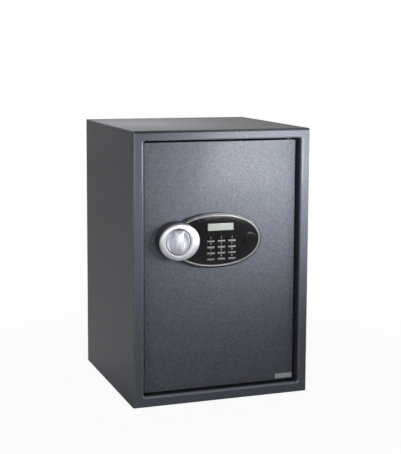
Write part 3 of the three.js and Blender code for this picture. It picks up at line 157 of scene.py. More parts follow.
# Bolts, inner cover and batteries
BOLT_NODES = ("bolt_upper", "bolt_lower")
BOLT_LENGTH = 44.5 * MM
BOLT_NOSE = 1.6 * MM
BOLT_TENON = 8 * MM
BOLT_RIVET = 6 * MM
BOLT_SEAT = 3.6 * MM
# A bolt's shoulder is in by this much before its face and at it
SHOULDER_EDGE = (0.3 * MM, 0.4 * MM)
# A rivet's edge: how far in, and how far along
RIVET_EDGE = (0.7 * MM, 0.5 * MM)
COVER_SHEET = 1.2 * MM
COVER_CORNER = 4 * MM
COVER_EDGE = 2 * MM
COVER_LEAST_CORNER = 0.4 * MM
SCREW_NODES = ["cover_screw_%d" % number for number in (1, 2, 3, 4)]
SCREW_HEAD = 2.5 * MM
SCREW_STEM = 2 * MM
SCREW_HOLE = 4.6 * MM
SCREW_POINT = (1.2 * MM, 0.3 * MM)
SCREW_TAPER = 2.2 * MM
SCREW_DOME_TOP = 0.55
SCREW_DOME_RIM = 0.45
SCREW_DOME_DEPTH = 0.7
RECESS_LONG = 2.1 * MM
RECESS_SHORT = 0.45 * MM
RECESS_DEPTH = 1.4 * MM
BATTERY_LIP = 2 * MM
BATTERY_SHEET = 1.5 * MM
BATTERY_CORNER = 3 * MM
BATTERY_EDGE = 0.6 * MM
BATTERY_WALL = 1.5 * MM
BATTERY_LIP_BITE = 0.5 * MM
GROOVES = 5
GROOVE_PITCH = 2.4 * MM
GROOVE_FROM_TOP = 9 * MM
GROOVE_HALF_LENGTH = 9 * MM
GROOVE_HALF_WIDTH = 0.6 * MM
GROOVE_DEPTH = 0.5 * MM
BUTTON_HOLE = 6.8 * MM
BUTTON_STEM = 3 * MM
BUTTON_NOSE = 0.8 * MM
BUTTON_FLANGE = 1.7 * MM

# CAD pieces that are kept, and whose sharp edges are rounded a little
BUSH_NODES = ("hinge_bush_top", "hinge_bush_bottom")
SOFT_EDGE = 0.4 * MM
SOFT_NODES = """shelf shelf_bracket_left shelf_bracket_right hinge_block_top hinge_block_bottom
    bolt_carriage bolt_guide drive_cam lock_cam solenoid_frame battery_box""".split()

# How finely folds and corners are divided
FOLD_STEPS = 8
CORNER_STEPS = 8
OVAL_STEPS = 240
FINE_SIDES = 160
RING_STEPS = 14
BEZEL_STEPS = 28
SCOOP_STEPS = 14
SMALL_SIDES = 48

# Cutters reach this far past what they cut, and turned pieces have this small a tip
BEYOND = 1 * MM
TIP = 0.4 * MM

# Limits on a face's normal, for finishes that only some faces have
FLAT = 0.998
UPRIGHT = 0.3
WALL_UPRIGHT = 0.4
HIP_UP = 0.22
HIP_ACROSS = 0.25

# Edges that turn by more degrees than this stay crisp, or are rounded
CRISP = 35
CRISP_BEZEL = 50
CRISP_KNOB = 28
ROUNDED = 30
ROUNDED_CAD = 40
WELD = 0.000002


# Mesh tools


def new_object(name, data):
    """A new object in the scene."""
    item = bpy.data.objects.new(name, data)
    bpy.context.scene.collection.objects.link(item)
    return item


def mesh_piece(name, vertices, faces):
    """A new object from plain lists of points and faces."""
    data = bpy.data.meshes.new(name)
    data.from_pydata([tuple(v) for v in vertices], [], faces)
    mesh = bmesh.new()
    mesh.from_mesh(data)
    bmesh.ops.recalc_face_normals(mesh, faces=mesh.faces)
    mesh.to_mesh(data)
    mesh.free()
    return new_object(name, data)


def tidy_normals(piece, crisp=CRISP):
    """Faces point out, and edges sharper than the angle stay crisp."""
    mesh = bmesh.new()
    mesh.from_mesh(piece.data)
    bmesh.ops.remove_doubles(mesh, verts=mesh.verts, dist=WELD)
    bmesh.ops.dissolve_degenerate(mesh, dist=WELD, edges=mesh.edges)
    bmesh.ops.recalc_face_normals(mesh, faces=mesh.faces)
    limit = math.radians(crisp)
    for face in mesh.faces:
        face.smooth = True
    for edge in mesh.edges:
        edge.smooth = len(edge.link_faces) == 2 and edge.calc_face_angle(0) < limit
    mesh.to_mesh(piece.data)
    mesh.free()
    return piece


def apply_modifiers(piece):
    """Bakes a piece's modifiers into its mesh."""
    graph = bpy.context.evaluated_depsgraph_get()
    baked = bpy.data.meshes.new_from_object(piece.evaluated_get(graph))
    piece.modifiers.clear()
    piece.data = baked
    return piece


def combine(piece, operation, others):
    """Cuts other solids out of a piece, or joins them to it, and removes them."""
    for other in others:
        step = piece.modifiers.new(operation.lower(), "BOOLEAN")
        step.operation = operation
        step.solver = "EXACT"
        step.object = other
    apply_modifiers(piece)
    for other in others:
        bpy.data.objects.remove(other)
    return piece


def cut(piece, *others):
    """Takes other solids out of a piece."""
    return combine(piece, "DIFFERENCE", others)


def join(piece, *others):
    """Adds other solids to a piece."""
    return combine(piece, "UNION", others)


def soften(piece, width):
    """Rounds the sharp edges of a piece."""
    step = piece.modifiers.new("soften", "BEVEL")
    step.width = width
    step.segments = 3
    step.limit_method = "ANGLE"
    step.angle_limit = math.radians(ROUNDED)
    step.miter_outer = "MITER_ARC"
    return apply_modifiers(piece)


def quarter_turn(steps=FOLD_STEPS):
    """Angles in even steps from zero to a right angle."""
    return [math.pi / 2 * step / steps for step in range(steps + 1)]


def edge_steps(radius, steps=FOLD_STEPS):
    """How far in and how far forward a rounded front edge lies, from its flank to its face."""
    return [(radius * (1 - math.cos(a)), radius * math.sin(a)) for a in quarter_turn(steps)]


def grown(span, by):
    """A span made longer at both ends."""
    return (span[0] - by, span[1] + by)


def about(middle, reach):
    """A span from its middle and how far it reaches to each side."""
    return (middle - reach, middle + reach)


def rounded_points(x_span, z_span, radius):
    """A rectangle with round corners, anticlockwise seen from the front."""
    (x0, x1), (z0, z1) = x_span, z_span
    corners = [
        (x1 - radius, z0 + radius, -90),
        (x1 - radius, z1 - radius, 0),
        (x0 + radius, z1 - radius, 90),
        (x0 + radius, z0 + radius, 180),
    ]
    points = []
    for x, z, start in corners:
        for step in range(CORNER_STEPS + 1):
            angle = math.radians(start + 90 * step / CORNER_STEPS)
            points.append((x + radius * math.cos(angle), z + radius * math.sin(angle)))
    return points


def oval_points(centre, half_width, half_height):
    """An ellipse, anticlockwise seen from the front."""
    angles = [2 * math.pi * step / OVAL_STEPS for step in range(OVAL_STEPS)]
    return [
        (centre[0] + half_width * math.cos(a), centre[1] + half_height * math.sin(a))
        for a in angles
    ]


def skin_faces(count, layers, ring):
    """Quads between outlines of so many points each, and a cap at both ends if no ring."""
    faces = []
    for layer in range(layers if ring else layers - 1):
        near = layer * count
        far = ((layer + 1) % layers) * count
        for i in range(count):
            after = (i + 1) % count
            faces.append((near + i, far + i, far + after, near + after))
    if not ring:
        last = (layers - 1) * count
        faces.append(tuple(range(count)))
        faces.append(tuple(last + i for i in reversed(range(count))))
    return faces


def loft(name, layers, ring=False):
    """A closed solid through matching outlines at given depths, each (y, points).

    A ring's last outline joins its first one; otherwise both ends are capped.
    """
    vertices = [(x, y, z) for y, points in layers for x, z in points]
    return mesh_piece(name, vertices, skin_faces(len(layers[0][1]), len(layers), ring))


def turned(name, profile, centre, axis="y", sides=FINE_SIDES):
    """A turned solid from (radius, place on the axis) pairs."""
    turns = [(math.cos(t), math.sin(t)) for t in (2 * math.pi * i / sides for i in range(sides))]
    vertices = []
    for radius, along in profile:
        for c, s in turns:
            point = [centre[0] + radius * c, centre[1] + radius * s]
            point.insert("xyz".index(axis), along)
            vertices.append(point)
    return mesh_piece(name, vertices, skin_faces(sides, len(profile), False))


def bar(name, diameter, span, centre, axis="y", sides=64):
    """A plain round bar, used to cut holes."""
    radius = diameter / 2
    return turned(name, [(radius, span[0]), (radius, span[1])], centre, axis, sides)


def block(name, x_span, y_span, z_span):
    """A box, used to cut openings or to be softened."""
    corners = [(x_span[0], z_span[0]), (x_span[1], z_span[0])]
    corners += [(x_span[1], z_span[1]), (x_span[0], z_span[1])]
    return loft(name, [(y_span[0], corners), (y_span[1], corners)])


def centre_of(node):
    """The middle of a node's box."""
    low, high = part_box(node)
    return (low + high) / 2


def spans_of(node):
    """How far a node reaches in X, Y and Z."""
    return tuple(zip(*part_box(node)))


def stand_for(piece, node, body, slot, *coats, crisp=CRISP):
    """The piece takes a node's place and body, in the slot's material or, if they are given, in
    other coats.
    """
    if crisp:
        tidy_normals(piece, crisp)
    piece.data.materials.clear()
    for coat in coats or (slot,):
        piece.data.materials.append(MATERIALS[coat])
    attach(piece, body)
    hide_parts(node)
    return piece


# Places taken from the frame


def across(node):
    """The middle of a node in X and Z."""
    centre = centre_of(node)
    return (centre.x, centre.z)


base_low, base_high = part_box("panel_base")
BASE_BACK = base_high.y
BASE_FRONT = BASE_BACK - BASE_DEPTH
BOSS_FRONT = base_low.y
ON_BASE = BASE_FRONT - SEAT
FACE_FRONT = ON_BASE - FACE_THICKNESS
RING_FRONT = ON_BASE - RING_THICKNESS
BEZEL_FRONT, BEZEL_BACK = spans_of("knob_bezel")[1]
KNOB_RIM = ON_BASE - KNOB_RIM_HEIGHT
PANEL = (base_high.x - BASE_HALF_WIDTH, centre_of("panel_base").z)
BEZEL = across("knob_bezel")
KNOB = across("spindle")
LOCK = across("lock_cylinder")


# Materials


class Nodes:
    """Short names for building one material's node tree."""

    def __init__(self, name):
        self.material = bpy.data.materials.new(name)
        self.material.use_nodes = True
        self.tree = self.material.node_tree
        self.shader = self.tree.nodes["Principled BSDF"]

    def add(self, kind, **values):
        """A new node, with its settings and its sockets' values by name."""
        node = self.tree.nodes.new("ShaderNode" + kind)
        for name, value in values.items():
            if name in node.bl_rna.properties:
                setattr(node, name, value)
            else:
                node.inputs[name.replace("_", " ")].default_value = value
        return node

    def link(self, source, target):
        self.tree.links.new(source, target)

    def set(self, **values):
        """Plain values on the shader's sockets."""
        for name, value in values.items():
            self.shader.inputs[name.replace("_", " ")].default_value = value

    def place(self):
        return self.add("TexCoord").outputs["Object"]

    def noise(self, scale, detail=2.0, roughness=0.5, vector=None):
        node = self.add("TexNoise", Scale=scale, Detail=detail, Roughness=roughness)
        self.link(vector or self.place(), node.inputs["Vector"])
        return node.outputs["Fac"]

    def stretched(self, scales):
        """Object coordinates scaled on each axis, for brushed and turned grain."""
        node = self.add("Mapping", Scale=scales)
        self.link(self.place(), node.inputs["Vector"])
        return node.outputs["Vector"]

    def span(self, factor, low, high):
        """A factor of 0 to 1, spread over a range."""
        node = self.add("MapRange", To_Min=low, To_Max=high)
        self.link(factor, node.inputs["Value"])
        return node.outputs["Result"]

    def bump(self, height, strength, distance, before=None):
        node = self.add("Bump", Strength=strength, Distance=distance)
        self.link(height, node.inputs["Height"])
        if before:
            self.link(before, node.inputs["Normal"])
        return node.outputs["Normal"]

    def paint(self, factor, stops):
        """The base colour, from a ramp of (place, colour) stops."""
        node = self.add("ValToRGB")
        elements = node.color_ramp.elements
        while len(elements) < len(stops):
            elements.new(1.0)
        for element, (place, colour) in zip(elements, stops):
            element.position = place
            element.color = (*colour, 1)
        self.link(factor, node.inputs["Fac"])
        self.link(node.outputs["Color"], self.shader.inputs["Base Color"])

    def roughen(self, factor, low, high):
        self.link(self.span(factor, low, high), self.shader.inputs["Roughness"])

    def relief(self, *bump):
        self.link(self.bump(*bump), self.shader.inputs["Normal"])


def shade(colour, factor):
    """A colour made darker or paler."""
    return tuple(part * factor for part in colour)


def powder_coat(name, shade_of=1.0, gloss=0.26, gloss_ior=1.25):
    """Charcoal powder coat with a fine orange-peel skin and a thin glossy film."""
    # shade_of makes paler or darker copies; the frame's copies use it for painted highlight and
    # painted shade
    colour = shade(CHARCOAL, shade_of)
    n = Nodes(name)
    grain = n.noise(900, 2.0, 0.6)
    peel = n.noise(420, 1.0, 0.5)
    tones = n.add("Math", operation="MULTIPLY_ADD")
    n.link(n.noise(400, 1.0, 0.5), tones.inputs[0])
    tones.inputs[1].default_value = 0.6
    n.link(n.span(grain, 0.0, 0.4), tones.inputs[2])
    stops = [(0.3, shade(colour, 0.7)), (0.5, colour), (0.7, shade(colour, 1.33))]
    n.paint(tones.outputs[0], stops)
    n.relief(grain, 0.25, 0.0004, n.bump(peel, 0.35, 0.0008))
    n.roughen(peel, 0.42, 0.6)
    n.set(Specular_IOR_Level=0.1, Coat_Weight=gloss, Coat_Roughness=0.16, Coat_IOR=gloss_ior)
    return n.material


def metal(name, colour, roughness, grain=(400, 400, 400), scratch=0.12, metallic=1.0):
    """Bare or plated metal with fine directional grain."""
    n = Nodes(name)
    fine = n.noise(1.0, 3.0, 0.6, n.stretched(grain))
    n.paint(n.noise(45, 3.0, 0.5), [(0.3, shade(colour, 0.9)), (0.7, colour)])
    n.roughen(fine, roughness * 0.8, roughness * 1.25)
    n.relief(fine, scratch, 0.00015)
    n.set(Metallic=metallic)
    return n.material


def plastic(name, colour, roughness, texture=0.1):
    """Moulded plastic with a fine spark texture."""
    n = Nodes(name)
    fine = n.noise(900, 3.0, 0.6)
    n.paint(n.noise(60, 2.0, 0.5), [(0.3, shade(colour, 0.85)), (0.7, shade(colour, 1.15))])
    n.roughen(fine, roughness * 0.85, roughness * 1.15)
    n.relief(fine, texture, 0.0002)
    return n.material


def display_pane():
    """A pale grey-green display with a faint grid of cells."""
    n = Nodes("display")
    green = (0.40, 0.45, 0.41)
    cells = n.add("TexWave", Scale=160.0, Distortion=0.4, Detail=1.0)
    n.link(n.place(), cells.inputs["Vector"])
    mixed = n.add("Math", operation="MULTIPLY")
    n.link(cells.outputs["Fac"], mixed.inputs[0])
    n.link(n.noise(70, 2.0, 0.5), mixed.inputs[1])
    n.paint(mixed.outputs[0], [(0.1, shade(green, 0.93)), (0.6, green)])
    n.set(Roughness=0.22)
    return n.material


def felt():
    """Needled felt: matted fibres and a soft sheen."""
    n = Nodes("felt")
    colour = (0.03, 0.032, 0.036)
    fibres = n.noise(1.0, 5.0, 0.7, n.stretched((700, 1500, 900)))
    n.paint(fibres, [(0.35, shade(colour, 0.6)), (0.65, shade(colour, 1.7))])
    n.relief(fibres, 0.6, 0.0006, n.bump(n.noise(260, 4.0, 0.65), 0.5, 0.001))
    n.set(Roughness=0.95, Sheen_Weight=0.3, Sheen_Roughness=0.5)
    return n.material


def copper_winding():
    """Enamelled wire wound round the coil, turn beside turn along Z."""
    n = Nodes("copper")
    wave = n.add("TexWave", bands_direction="Z", Scale=900.0, Distortion=0.3)
    n.link(n.place(), wave.inputs["Vector"])
    n.paint(wave.outputs["Fac"], [(0.2, (0.16, 0.05, 0.015)), (0.8, (0.6, 0.25, 0.09))])
    n.relief(wave.outputs["Fac"], 0.5, 0.0003)
    n.set(Roughness=0.35, Metallic=0.7)
    return n.material


def board_green():
    """Solder resist with faint tracks."""
    n = Nodes("board_green")
    tracks = n.add("TexBrick", Scale=160.0, Mortar_Size=0.06)
    tracks.inputs["Color1"].default_value = (0.01, 0.11, 0.04, 1)
    tracks.inputs["Color2"].default_value = (0.012, 0.13, 0.05, 1)
    tracks.inputs["Mortar"].default_value = (0.03, 0.2, 0.08, 1)
    n.link(n.stretched((1, 1, 1)), tracks.inputs["Vector"])
    n.link(tracks.outputs["Color"], n.shader.inputs["Base Color"])
    n.set(Roughness=0.4)
    return n.material


CHARCOAL = (0.139, 0.152, 0.184)
MATERIALS = {
    # The slots of the record
    "powder_coat": powder_coat("powder_coat"),
    "felt": felt(),
    "brass": metal("brass", (0.62, 0.45, 0.18), 0.3),
    "steel": metal("steel", (0.50, 0.51, 0.53), 0.28, grain=(60, 900, 900)),
    "zinc_steel": metal("zinc_steel", (0.56, 0.57, 0.60), 0.38, grain=(300, 300, 900)),
    "copper": copper_winding(),
    "chrome": metal("chrome", (0.86, 0.87, 0.95), 0.33, scratch=0.04, metallic=0.65),
    "silver_plastic": metal("silver_plastic", (0.78, 0.79, 0.84), 0.4, scratch=0.05, metallic=0.2),
    "black_plastic": plastic("black_plastic", (0.036, 0.037, 0.044), 0.25),
    "gloss_black": plastic("gloss_black", (0.011, 0.0105, 0.0115), 0.1, 0.01),
    "display": display_pane(),
    "board_green": board_green(),
    "rubber": plastic("rubber", (0.03, 0.03, 0.032), 0.75, 0.2),
    "cell_sleeve": plastic("cell_sleeve", (0.04, 0.045, 0.055), 0.3, 0.03),
    "red_plastic": plastic("red_plastic", (0.5, 0.02, 0.015), 0.32, 0.05),
    # Finishes of single pieces, or of some of their faces
    # Glossier coat on the frame's folds, its base a little paler as a painted highlight
    "fold_gloss_painted_highlight": powder_coat("fold_gloss_painted_highlight", 1.1, 0.9, 1.6),
    # Much paler base on the sill's fold: a painted highlight line
    "sill_painted_highlight": powder_coat("sill_painted_highlight", 2.3, 0.9, 1.6),
    # Darker base on the recess walls: painted shade
    "recess_painted_shade": powder_coat("recess_painted_shade", 0.5, 0.2),
    # Darker base on the top fold: a painted shade line
    "top_fold_painted_shade": powder_coat("top_fold_painted_shade", 0.35, 0.2),
    # A dark bronze for the hinge bushes, much darker than their brass slot
    "dark_bronze": metal("dark_bronze", (0.05, 0.04, 0.028), 0.45),
    "legend_white": plastic("legend_white", (0.26, 0.26, 0.27), 0.5, 0.05),
    # Darkened chrome for the panel ring: painted shade for the dark surroundings it reflects
    "ring_chrome_painted_shade": metal("ring_chrome_painted_shade", (0.27, 0.27, 0.29), 0.3, scratch=0.02, metallic=0.5),
    # Paler, rougher black for the boss's wall: painted light
    "boss_wall_painted_light": plastic("boss_wall_painted_light", (0.085, 0.09, 0.105), 0.4),
    "cap_black": plastic("cap_black", (0.007, 0.0065, 0.0075), 0.14, 0.02),
    # Darker, rougher chrome for the grip's upper hip: painted shade
    "hip_chrome_painted_shade": metal("hip_chrome_painted_shade", (0.5, 0.5, 0.56), 0.42, scratch=0.04, metallic=0.65),
    "key_silver": metal("key_silver", (0.2, 0.2, 0.21), 0.42, scratch=0.05, metallic=0.85),
}
FRAME_COATS = ("powder_coat", "fold_gloss_painted_highlight", "top_fold_painted_shade", "sill_painted_highlight", "recess_painted_shade")


def finish_nodes():
    """Gives each CAD node the material of its slot in the record."""
    for entry in frame["record"]["subparts"]:
        node = nodes[entry["node"]]
        node.data.materials.clear()
        node.data.materials.append(MATERIALS[entry["material_slot"]])
    # The hinge bushes take a dark bronze in place of their brass slot
    for name in BUSH_NODES:
        nodes[name].data.materials[0] = MATERIALS["dark_bronze"]
    for name in SOFT_NODES:
        step = nodes[name].modifiers.new("soft_edges", "BEVEL")
        step.width = SOFT_EDGE
        step.segments = 2
        step.limit_method = "ANGLE"
        step.angle_limit = math.radians(ROUNDED_CAD)


# Cabinet


def opening_spans():
    """The door's opening between the frame's faces, in X and Z."""
    x, _, z = spans_of("cabinet_shell")
    return (x[0] + FRAME_FACE_LEFT, x[1] - FRAME_FACE), grown(z, -FRAME_FACE)


def outer_ring(y, inset=0.0):
    """The shell's outline; its folds are tighter at the right and the bottom."""
    x, _, z = spans_of("cabinet_shell")
    far = inset * FAR_FOLD_SHARE
    corner = max(LONG_EDGE_RADIUS - inset, LEAST_LONG_EDGE)
    return (y, rounded_points((x[0] + inset, x[1] - far), (z[0] + far, z[1] - inset), corner))


def opening_ring(y, flare=0.0, lip=SILL_LIP):
    """The opening's outline, widened by its flare, with a lip on the sill."""
    x, z = opening_spans()
    spans = (grown(x, flare), (z[0] + lip - flare, z[1] + flare))
    return (y, rounded_points(*spans, OPENING_CORNER + flare))


def shell_layers():
    """The sheet's outlines, from the rear rim round the front folds and back inside."""
    x, (front, back), z = spans_of("cabinet_shell")
    open_x, open_z = opening_spans()
    beside_fold = FOLD_RADIUS + FOLD_SUPPORT
    behind = front + FRAME_RETURN
    fold = [(behind_by, FOLD_RADIUS - out) for behind_by, out in edge_steps(FOLD_RADIUS)]
    layers = [outer_ring(back), outer_ring(front + beside_fold)]
    layers += [outer_ring(front + depth, inset) for depth, inset in reversed(fold)]
    layers += [outer_ring(front, beside_fold), opening_ring(front, beside_fold)]
    layers += [opening_ring(front + depth, flare) for depth, flare in fold]
    layers += [opening_ring(front + beside_fold), opening_ring(front + SILL_LIP_DEPTH)]
    layers.append(opening_ring(front + SILL_LIP_DEPTH + FOLD_SUPPORT, lip=0.0))
    layers.append(opening_ring(behind, lip=0.0))
    flange = rounded_points(grown(open_x, SHEET), grown(open_z, SHEET), OPENING_CORNER + SHEET)
    inside = rounded_points(grown(x, -SHEET), grown(z, -SHEET), INSIDE_CORNER)
    layers += [(behind, flange), (front + SHEET, flange), (front + SHEET, inside), (back, inside)]
    return layers


def bolt_holes(x_span):
    """Cutters for the two bolts."""
    places = [centre_of(node) for node in BOLT_NODES]
    return [bar("hole", BOLT_HOLE, x_span, (place.y, place.z), "x") for place in places]


def bush_holes():
    """Cutters for the hinge bushes, above and below the opening."""
    bottom, top = opening_spans()[1]
    spans = ((top - SHEET, top + 2 * SHEET), (bottom - 2 * SHEET, bottom + SHEET))
    return [
        bar("hole", BUSH_HOLE, span, centre_of(node).xy, "z")
        for node, span in zip(BUSH_NODES, spans)
    ]


def anchor_holes(diameter, z_span):
    """Cutters for the two anchor bolts in the floor."""
    floor_y = spans_of("cabinet_shell")[1][1] - ANCHOR_FROM_BACK
    return [bar("hole", diameter, z_span, (x, floor_y), "z") for x in ANCHOR_XS]


def coat_frame(skin):
    """Glossier paint with a painted highlight on the frame's inner folds and left fold, a strong
    painted highlight on the sill, and painted shade on the top fold and in the recess.
    """
    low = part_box("cabinet_shell")[0]
    open_x, open_z = opening_spans()
    reach = FOLD_RADIUS + FOLD_SUPPORT
    for face in skin.data.polygons:
        centre, normal = face.center, face.normal
        in_x = open_x[0] - reach < centre.x < open_x[1] + reach
        in_z = open_z[0] - reach < centre.z < open_z[1] + reach
        in_opening = in_x and in_z
        flat = max(abs(part) for part in normal) > FLAT
        coat = "powder_coat"
        # Painted shade on the recess walls
        if in_opening and abs(normal.y) < UPRIGHT and centre.y < low.y + FRAME_RETURN:
            coat = "recess_painted_shade"
        elif flat or centre.y > low.y + reach:
            coat = "powder_coat"
        # Painted highlight on the sill's fold
        elif in_opening and centre.z < open_z[0] + SILL_LIP + BEYOND:
            coat = "sill_painted_highlight"
        # Glossier coat and a painted highlight on the inner folds and the outer left fold
        elif in_opening or centre.x < low.x + reach:
            coat = "fold_gloss_painted_highlight"
        # Painted shade on the top fold
        elif centre.z > open_z[1] + reach:
            coat = "top_fold_painted_shade"
        face.material_index = FRAME_COATS.index(coat)


def cabinet_skin():
    """The folded shell, with the holes in its frame and its floor."""
    skin = loft("cabinet_skin", shell_layers(), ring=True)
    frame_left = opening_spans()[0][0]
    cutters = bolt_holes((frame_left - 2 * SHEET, frame_left + SHEET))
    cutters += bush_holes()
    cutters += anchor_holes(ANCHOR_HOLE, (-BEYOND, SHEET + BEYOND))
    cut(skin, *cutters)
    stand_for(skin, "cabinet_shell", "cabinet", "powder_coat", *FRAME_COATS)
    coat_frame(skin)


# Door


def door_skin():
    """The door's plate with a rounded edge, and its holes for the spindle and the lock."""
    x, (front, back), z = spans_of("door_plate")
    x = (x[0] + DOOR_LEFT_TRIM, x[1])
    layers = []
    for behind, outward in edge_steps(DOOR_EDGE_RADIUS, DOOR_EDGE_STEPS):
        inset = DOOR_EDGE_RADIUS - outward
        outline = rounded_points(grown(x, -inset), grown(z, -inset), DOOR_CORNER - inset)
        layers.append((front + behind, outline))
    layers.append((back, outline))
    skin = loft("door_skin", layers)
    through = (front - BEYOND, back + BEYOND)
    cut(skin, bar("hole", SPINDLE_HOLE, through, KNOB), bar("hole", LOCK_HOLE, through, LOCK))
    stand_for(skin, "door_plate", "door", "powder_coat")


# Control panel


def panel_oval(inset):
    """The panel's oval outline, moved in from the rim of its base."""
    half_width, half_height = BASE_HALF_WIDTH - inset, BASE_HALF_HEIGHT - inset
    power = 2 / PANEL_SQUARENESS
    points = []
    for step in range(OVAL_STEPS):
        angle = 2 * math.pi * step / OVAL_STEPS
        c, s = math.cos(angle), math.sin(angle)
        x = PANEL[0] + half_width * math.copysign(abs(c) ** power, c)
        points.append((x, PANEL[1] + half_height * math.copysign(abs(s) ** power, s)))
    return points


def bezel_oval(margin):
    """The bezel's oval rim, made larger by a margin."""
    return oval_points(BEZEL, BEZEL_HALF_WIDTH + margin, BEZEL_HALF_HEIGHT + margin)


def rounded_slab(name, outline, face_y, back_y, radius):
    """A flat piece with a rounded front edge; outline(inset) gives its points."""
    layers = [(back_y, outline(0))]
    layers += [(face_y + radius - forward, outline(inset)) for inset, forward in edge_steps(radius)]
    return loft(name, layers)


def tile(name, node, y_span, corner, edge):
    """A flat piece over a node's outline, with round corners and a rounded front edge."""
    x, _, z = spans_of(node)

    def outline(inset):
        return rounded_points(grown(x, -inset), grown(z, -inset), corner)

    return rounded_slab(name, outline, *y_span, edge)


def boss(name, margin, face_y, back_y, radius=0.0):
    """The boss below the bezel; it grows by its draft towards the door."""
    slope = BOSS_DRAFT / (BASE_BACK - BOSS_FRONT)
    edge = [(0.0, face_y)]
    if radius:
        edge = [(inset, face_y + radius - forward) for inset, forward in edge_steps(radius)]
    layers = [
        (y, bezel_oval(margin - inset + slope * (y - BOSS_FRONT)))
        for inset, y in [(0.0, back_y)] + edge
    ]
    return loft(name, layers)


def dull_the_wall(base):
    """The boss's wall gets a paler, rougher black than the tray: painted light where the wall
    catches light from the left.
    """
    for face in base.data.polygons:
        centre, normal = face.center, face.normal
        outward = (centre.x - BEZEL[0]) * normal.x + (centre.z - BEZEL[1]) * normal.z > 0
        if outward and abs(normal.y) < WALL_UPRIGHT and BOSS_FRONT < centre.y < BASE_FRONT:
            face.material_index = 1


def panel_base_skin():
    """An oval tray, and the tall boss with the well that the knob turns in."""
    base = rounded_slab("panel_base_skin", panel_oval, BASE_FRONT, BASE_BACK, BASE_EDGE)
    join(base, boss("boss", 0, BOSS_FRONT, BASE_BACK - SEAT, BOSS_EDGE))
    x, _, z = spans_of("circuit_board")
    through = (BASE_FRONT - BEYOND, BASE_BACK + BEYOND)
    cut(
        base,
        bar("well", 2 * KNOB_BORE, (BOSS_FRONT - BEYOND, BASE_FRONT), KNOB, "y", FINE_SIDES),
        bar("spindle_hole", SPINDLE_HOLE, through, KNOB),
        bar("lock_hole", LOCK_HOLE, through, LOCK),
        block("board_room", grown(x, BOARD_ROOM), through, grown(z, BOARD_ROOM)),
    )
    stand_for(base, "panel_base", "door", "black_plastic", "black_plastic", "boss_wall_painted_light")
    dull_the_wall(base)


def panel_ring_skin():
    """A half-round chromed ring, cut away where it meets the boss."""
    layers = []
    for step in range(RING_STEPS + 1):
        angle = math.pi * step / RING_STEPS
        inset = RING_INSET + RING_WIDTH / 2 * (1 - math.cos(angle))
        y = ON_BASE - RING_FOOT - (RING_THICKNESS - RING_FOOT) * math.sin(angle)
        layers.append((y, panel_oval(inset)))
    layers += [(ON_BASE, panel_oval(inset)) for inset in (RING_INSET + RING_WIDTH, RING_INSET)]
    ring = loft("panel_ring_skin", layers, ring=True)
    cut(ring, boss("boss_room", SEAT, RING_FRONT - BEYOND, ON_BASE + BEYOND))
    # The ring takes a darkened chrome: painted shade for the dark surroundings it reflects
    stand_for(ring, "panel_ring", "door", "chrome", "ring_chrome_painted_shade")


def key_outline(node, inset):
    """A key's outline, moved in by an inset."""
    centre = centre_of(node)
    x_span = about(centre.x, KEY_LENGTH / 2 - inset)
    z_span = about(centre.z, KEY_WIDTH / 2 - inset)
    return rounded_points(x_span, z_span, max(KEY_CORNER - inset, KEY_LEAST_CORNER))


def panel_face_skin():
    """The glossy printed face with its window and the twelve key slots."""

    def outline(inset):
        return panel_oval(RING_INSET + RING_WIDTH + SEAT + inset)

    face = rounded_slab("panel_face_skin", outline, FACE_FRONT, ON_BASE, FACE_EDGE)
    through = (FACE_FRONT - BEYOND, ON_BASE + BEYOND)
    x, _, z = spans_of("lcd_window")
    slots = [rounded_points(grown(x, SEAT), grown(z, SEAT), WINDOW_CORNER)]
    slots += [key_outline(node, -SEAT) for node in KEY_NODES]
    cutters = [boss("boss_room", SEAT, *through), bar("lock_hole", FACE_LOCK_HOLE, through, LOCK)]
    cutters += [loft("slot", [(through[1], slot), (through[0], slot)]) for slot in slots]
    cut(face, *cutters)
    stand_for(face, "panel_face", "door", "gloss_black")


def display_skin():
    """The display's pane, set back a little in the face."""
    y_span = (FACE_FRONT + DISPLAY_RECESS, ON_BASE)
    pane = tile("display_skin", "lcd_window", y_span, DISPLAY_CORNER, DISPLAY_EDGE)
    stand_for(pane, "lcd_window", "door", "display")


def key_skin(node):
    """A crowned bar on a flange that holds it in the face."""
    x, (front, back), z = spans_of(node)
    flange = rounded_points(x, z, KEY_FLANGE_CORNER)
    step = ON_BASE + SEAT
    layers = [(back, flange), (step, flange), (step, key_outline(node, 0))]
    for inset, forward in edge_steps(KEY_CROWN):
        layers.append((front + KEY_CROWN - forward, key_outline(node, inset)))
    key = loft(node + "_skin", layers)
    stand_for(key, node, node, "silver_plastic", "key_silver")


def legend(text, x, z):
    """A printed character, its middle at a place on the face."""
    curve = bpy.data.curves.new("legend", "FONT")
    curve.body = text
    curve.size = LEGEND_SIZE
    curve.align_x = "CENTER"
    curve.align_y = "CENTER"
    curve.extrude = LEGEND_THICKNESS
    written = new_object("legend_" + text, curve)
    written.rotation_euler = (math.pi / 2, 0, 0)
    written.location = (x, FACE_FRONT, z)
    return written


def legends():
    """The characters above the keys, as one printed piece."""
    written = []
    for node in KEY_NODES:
        centre = centre_of(node)
        written.append(legend(LEGENDS[node], centre.x, centre.z + LEGEND_ABOVE_KEY))
    bpy.context.view_layer.update()
    graph = bpy.context.evaluated_depsgraph_get()
    mesh = bmesh.new()
    for item in written:
        part = bpy.data.meshes.new_from_object(item.evaluated_get(graph))
        part.transform(item.matrix_world)
        mesh.from_mesh(part)
        bpy.data.objects.remove(item)
    data = bpy.data.meshes.new("key_legends")
    mesh.to_mesh(data)
    mesh.free()
    printed = new_object("key_legends", data)
    data.materials.clear()
    data.materials.append(MATERIALS["legend_white"])
    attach(printed, "door")


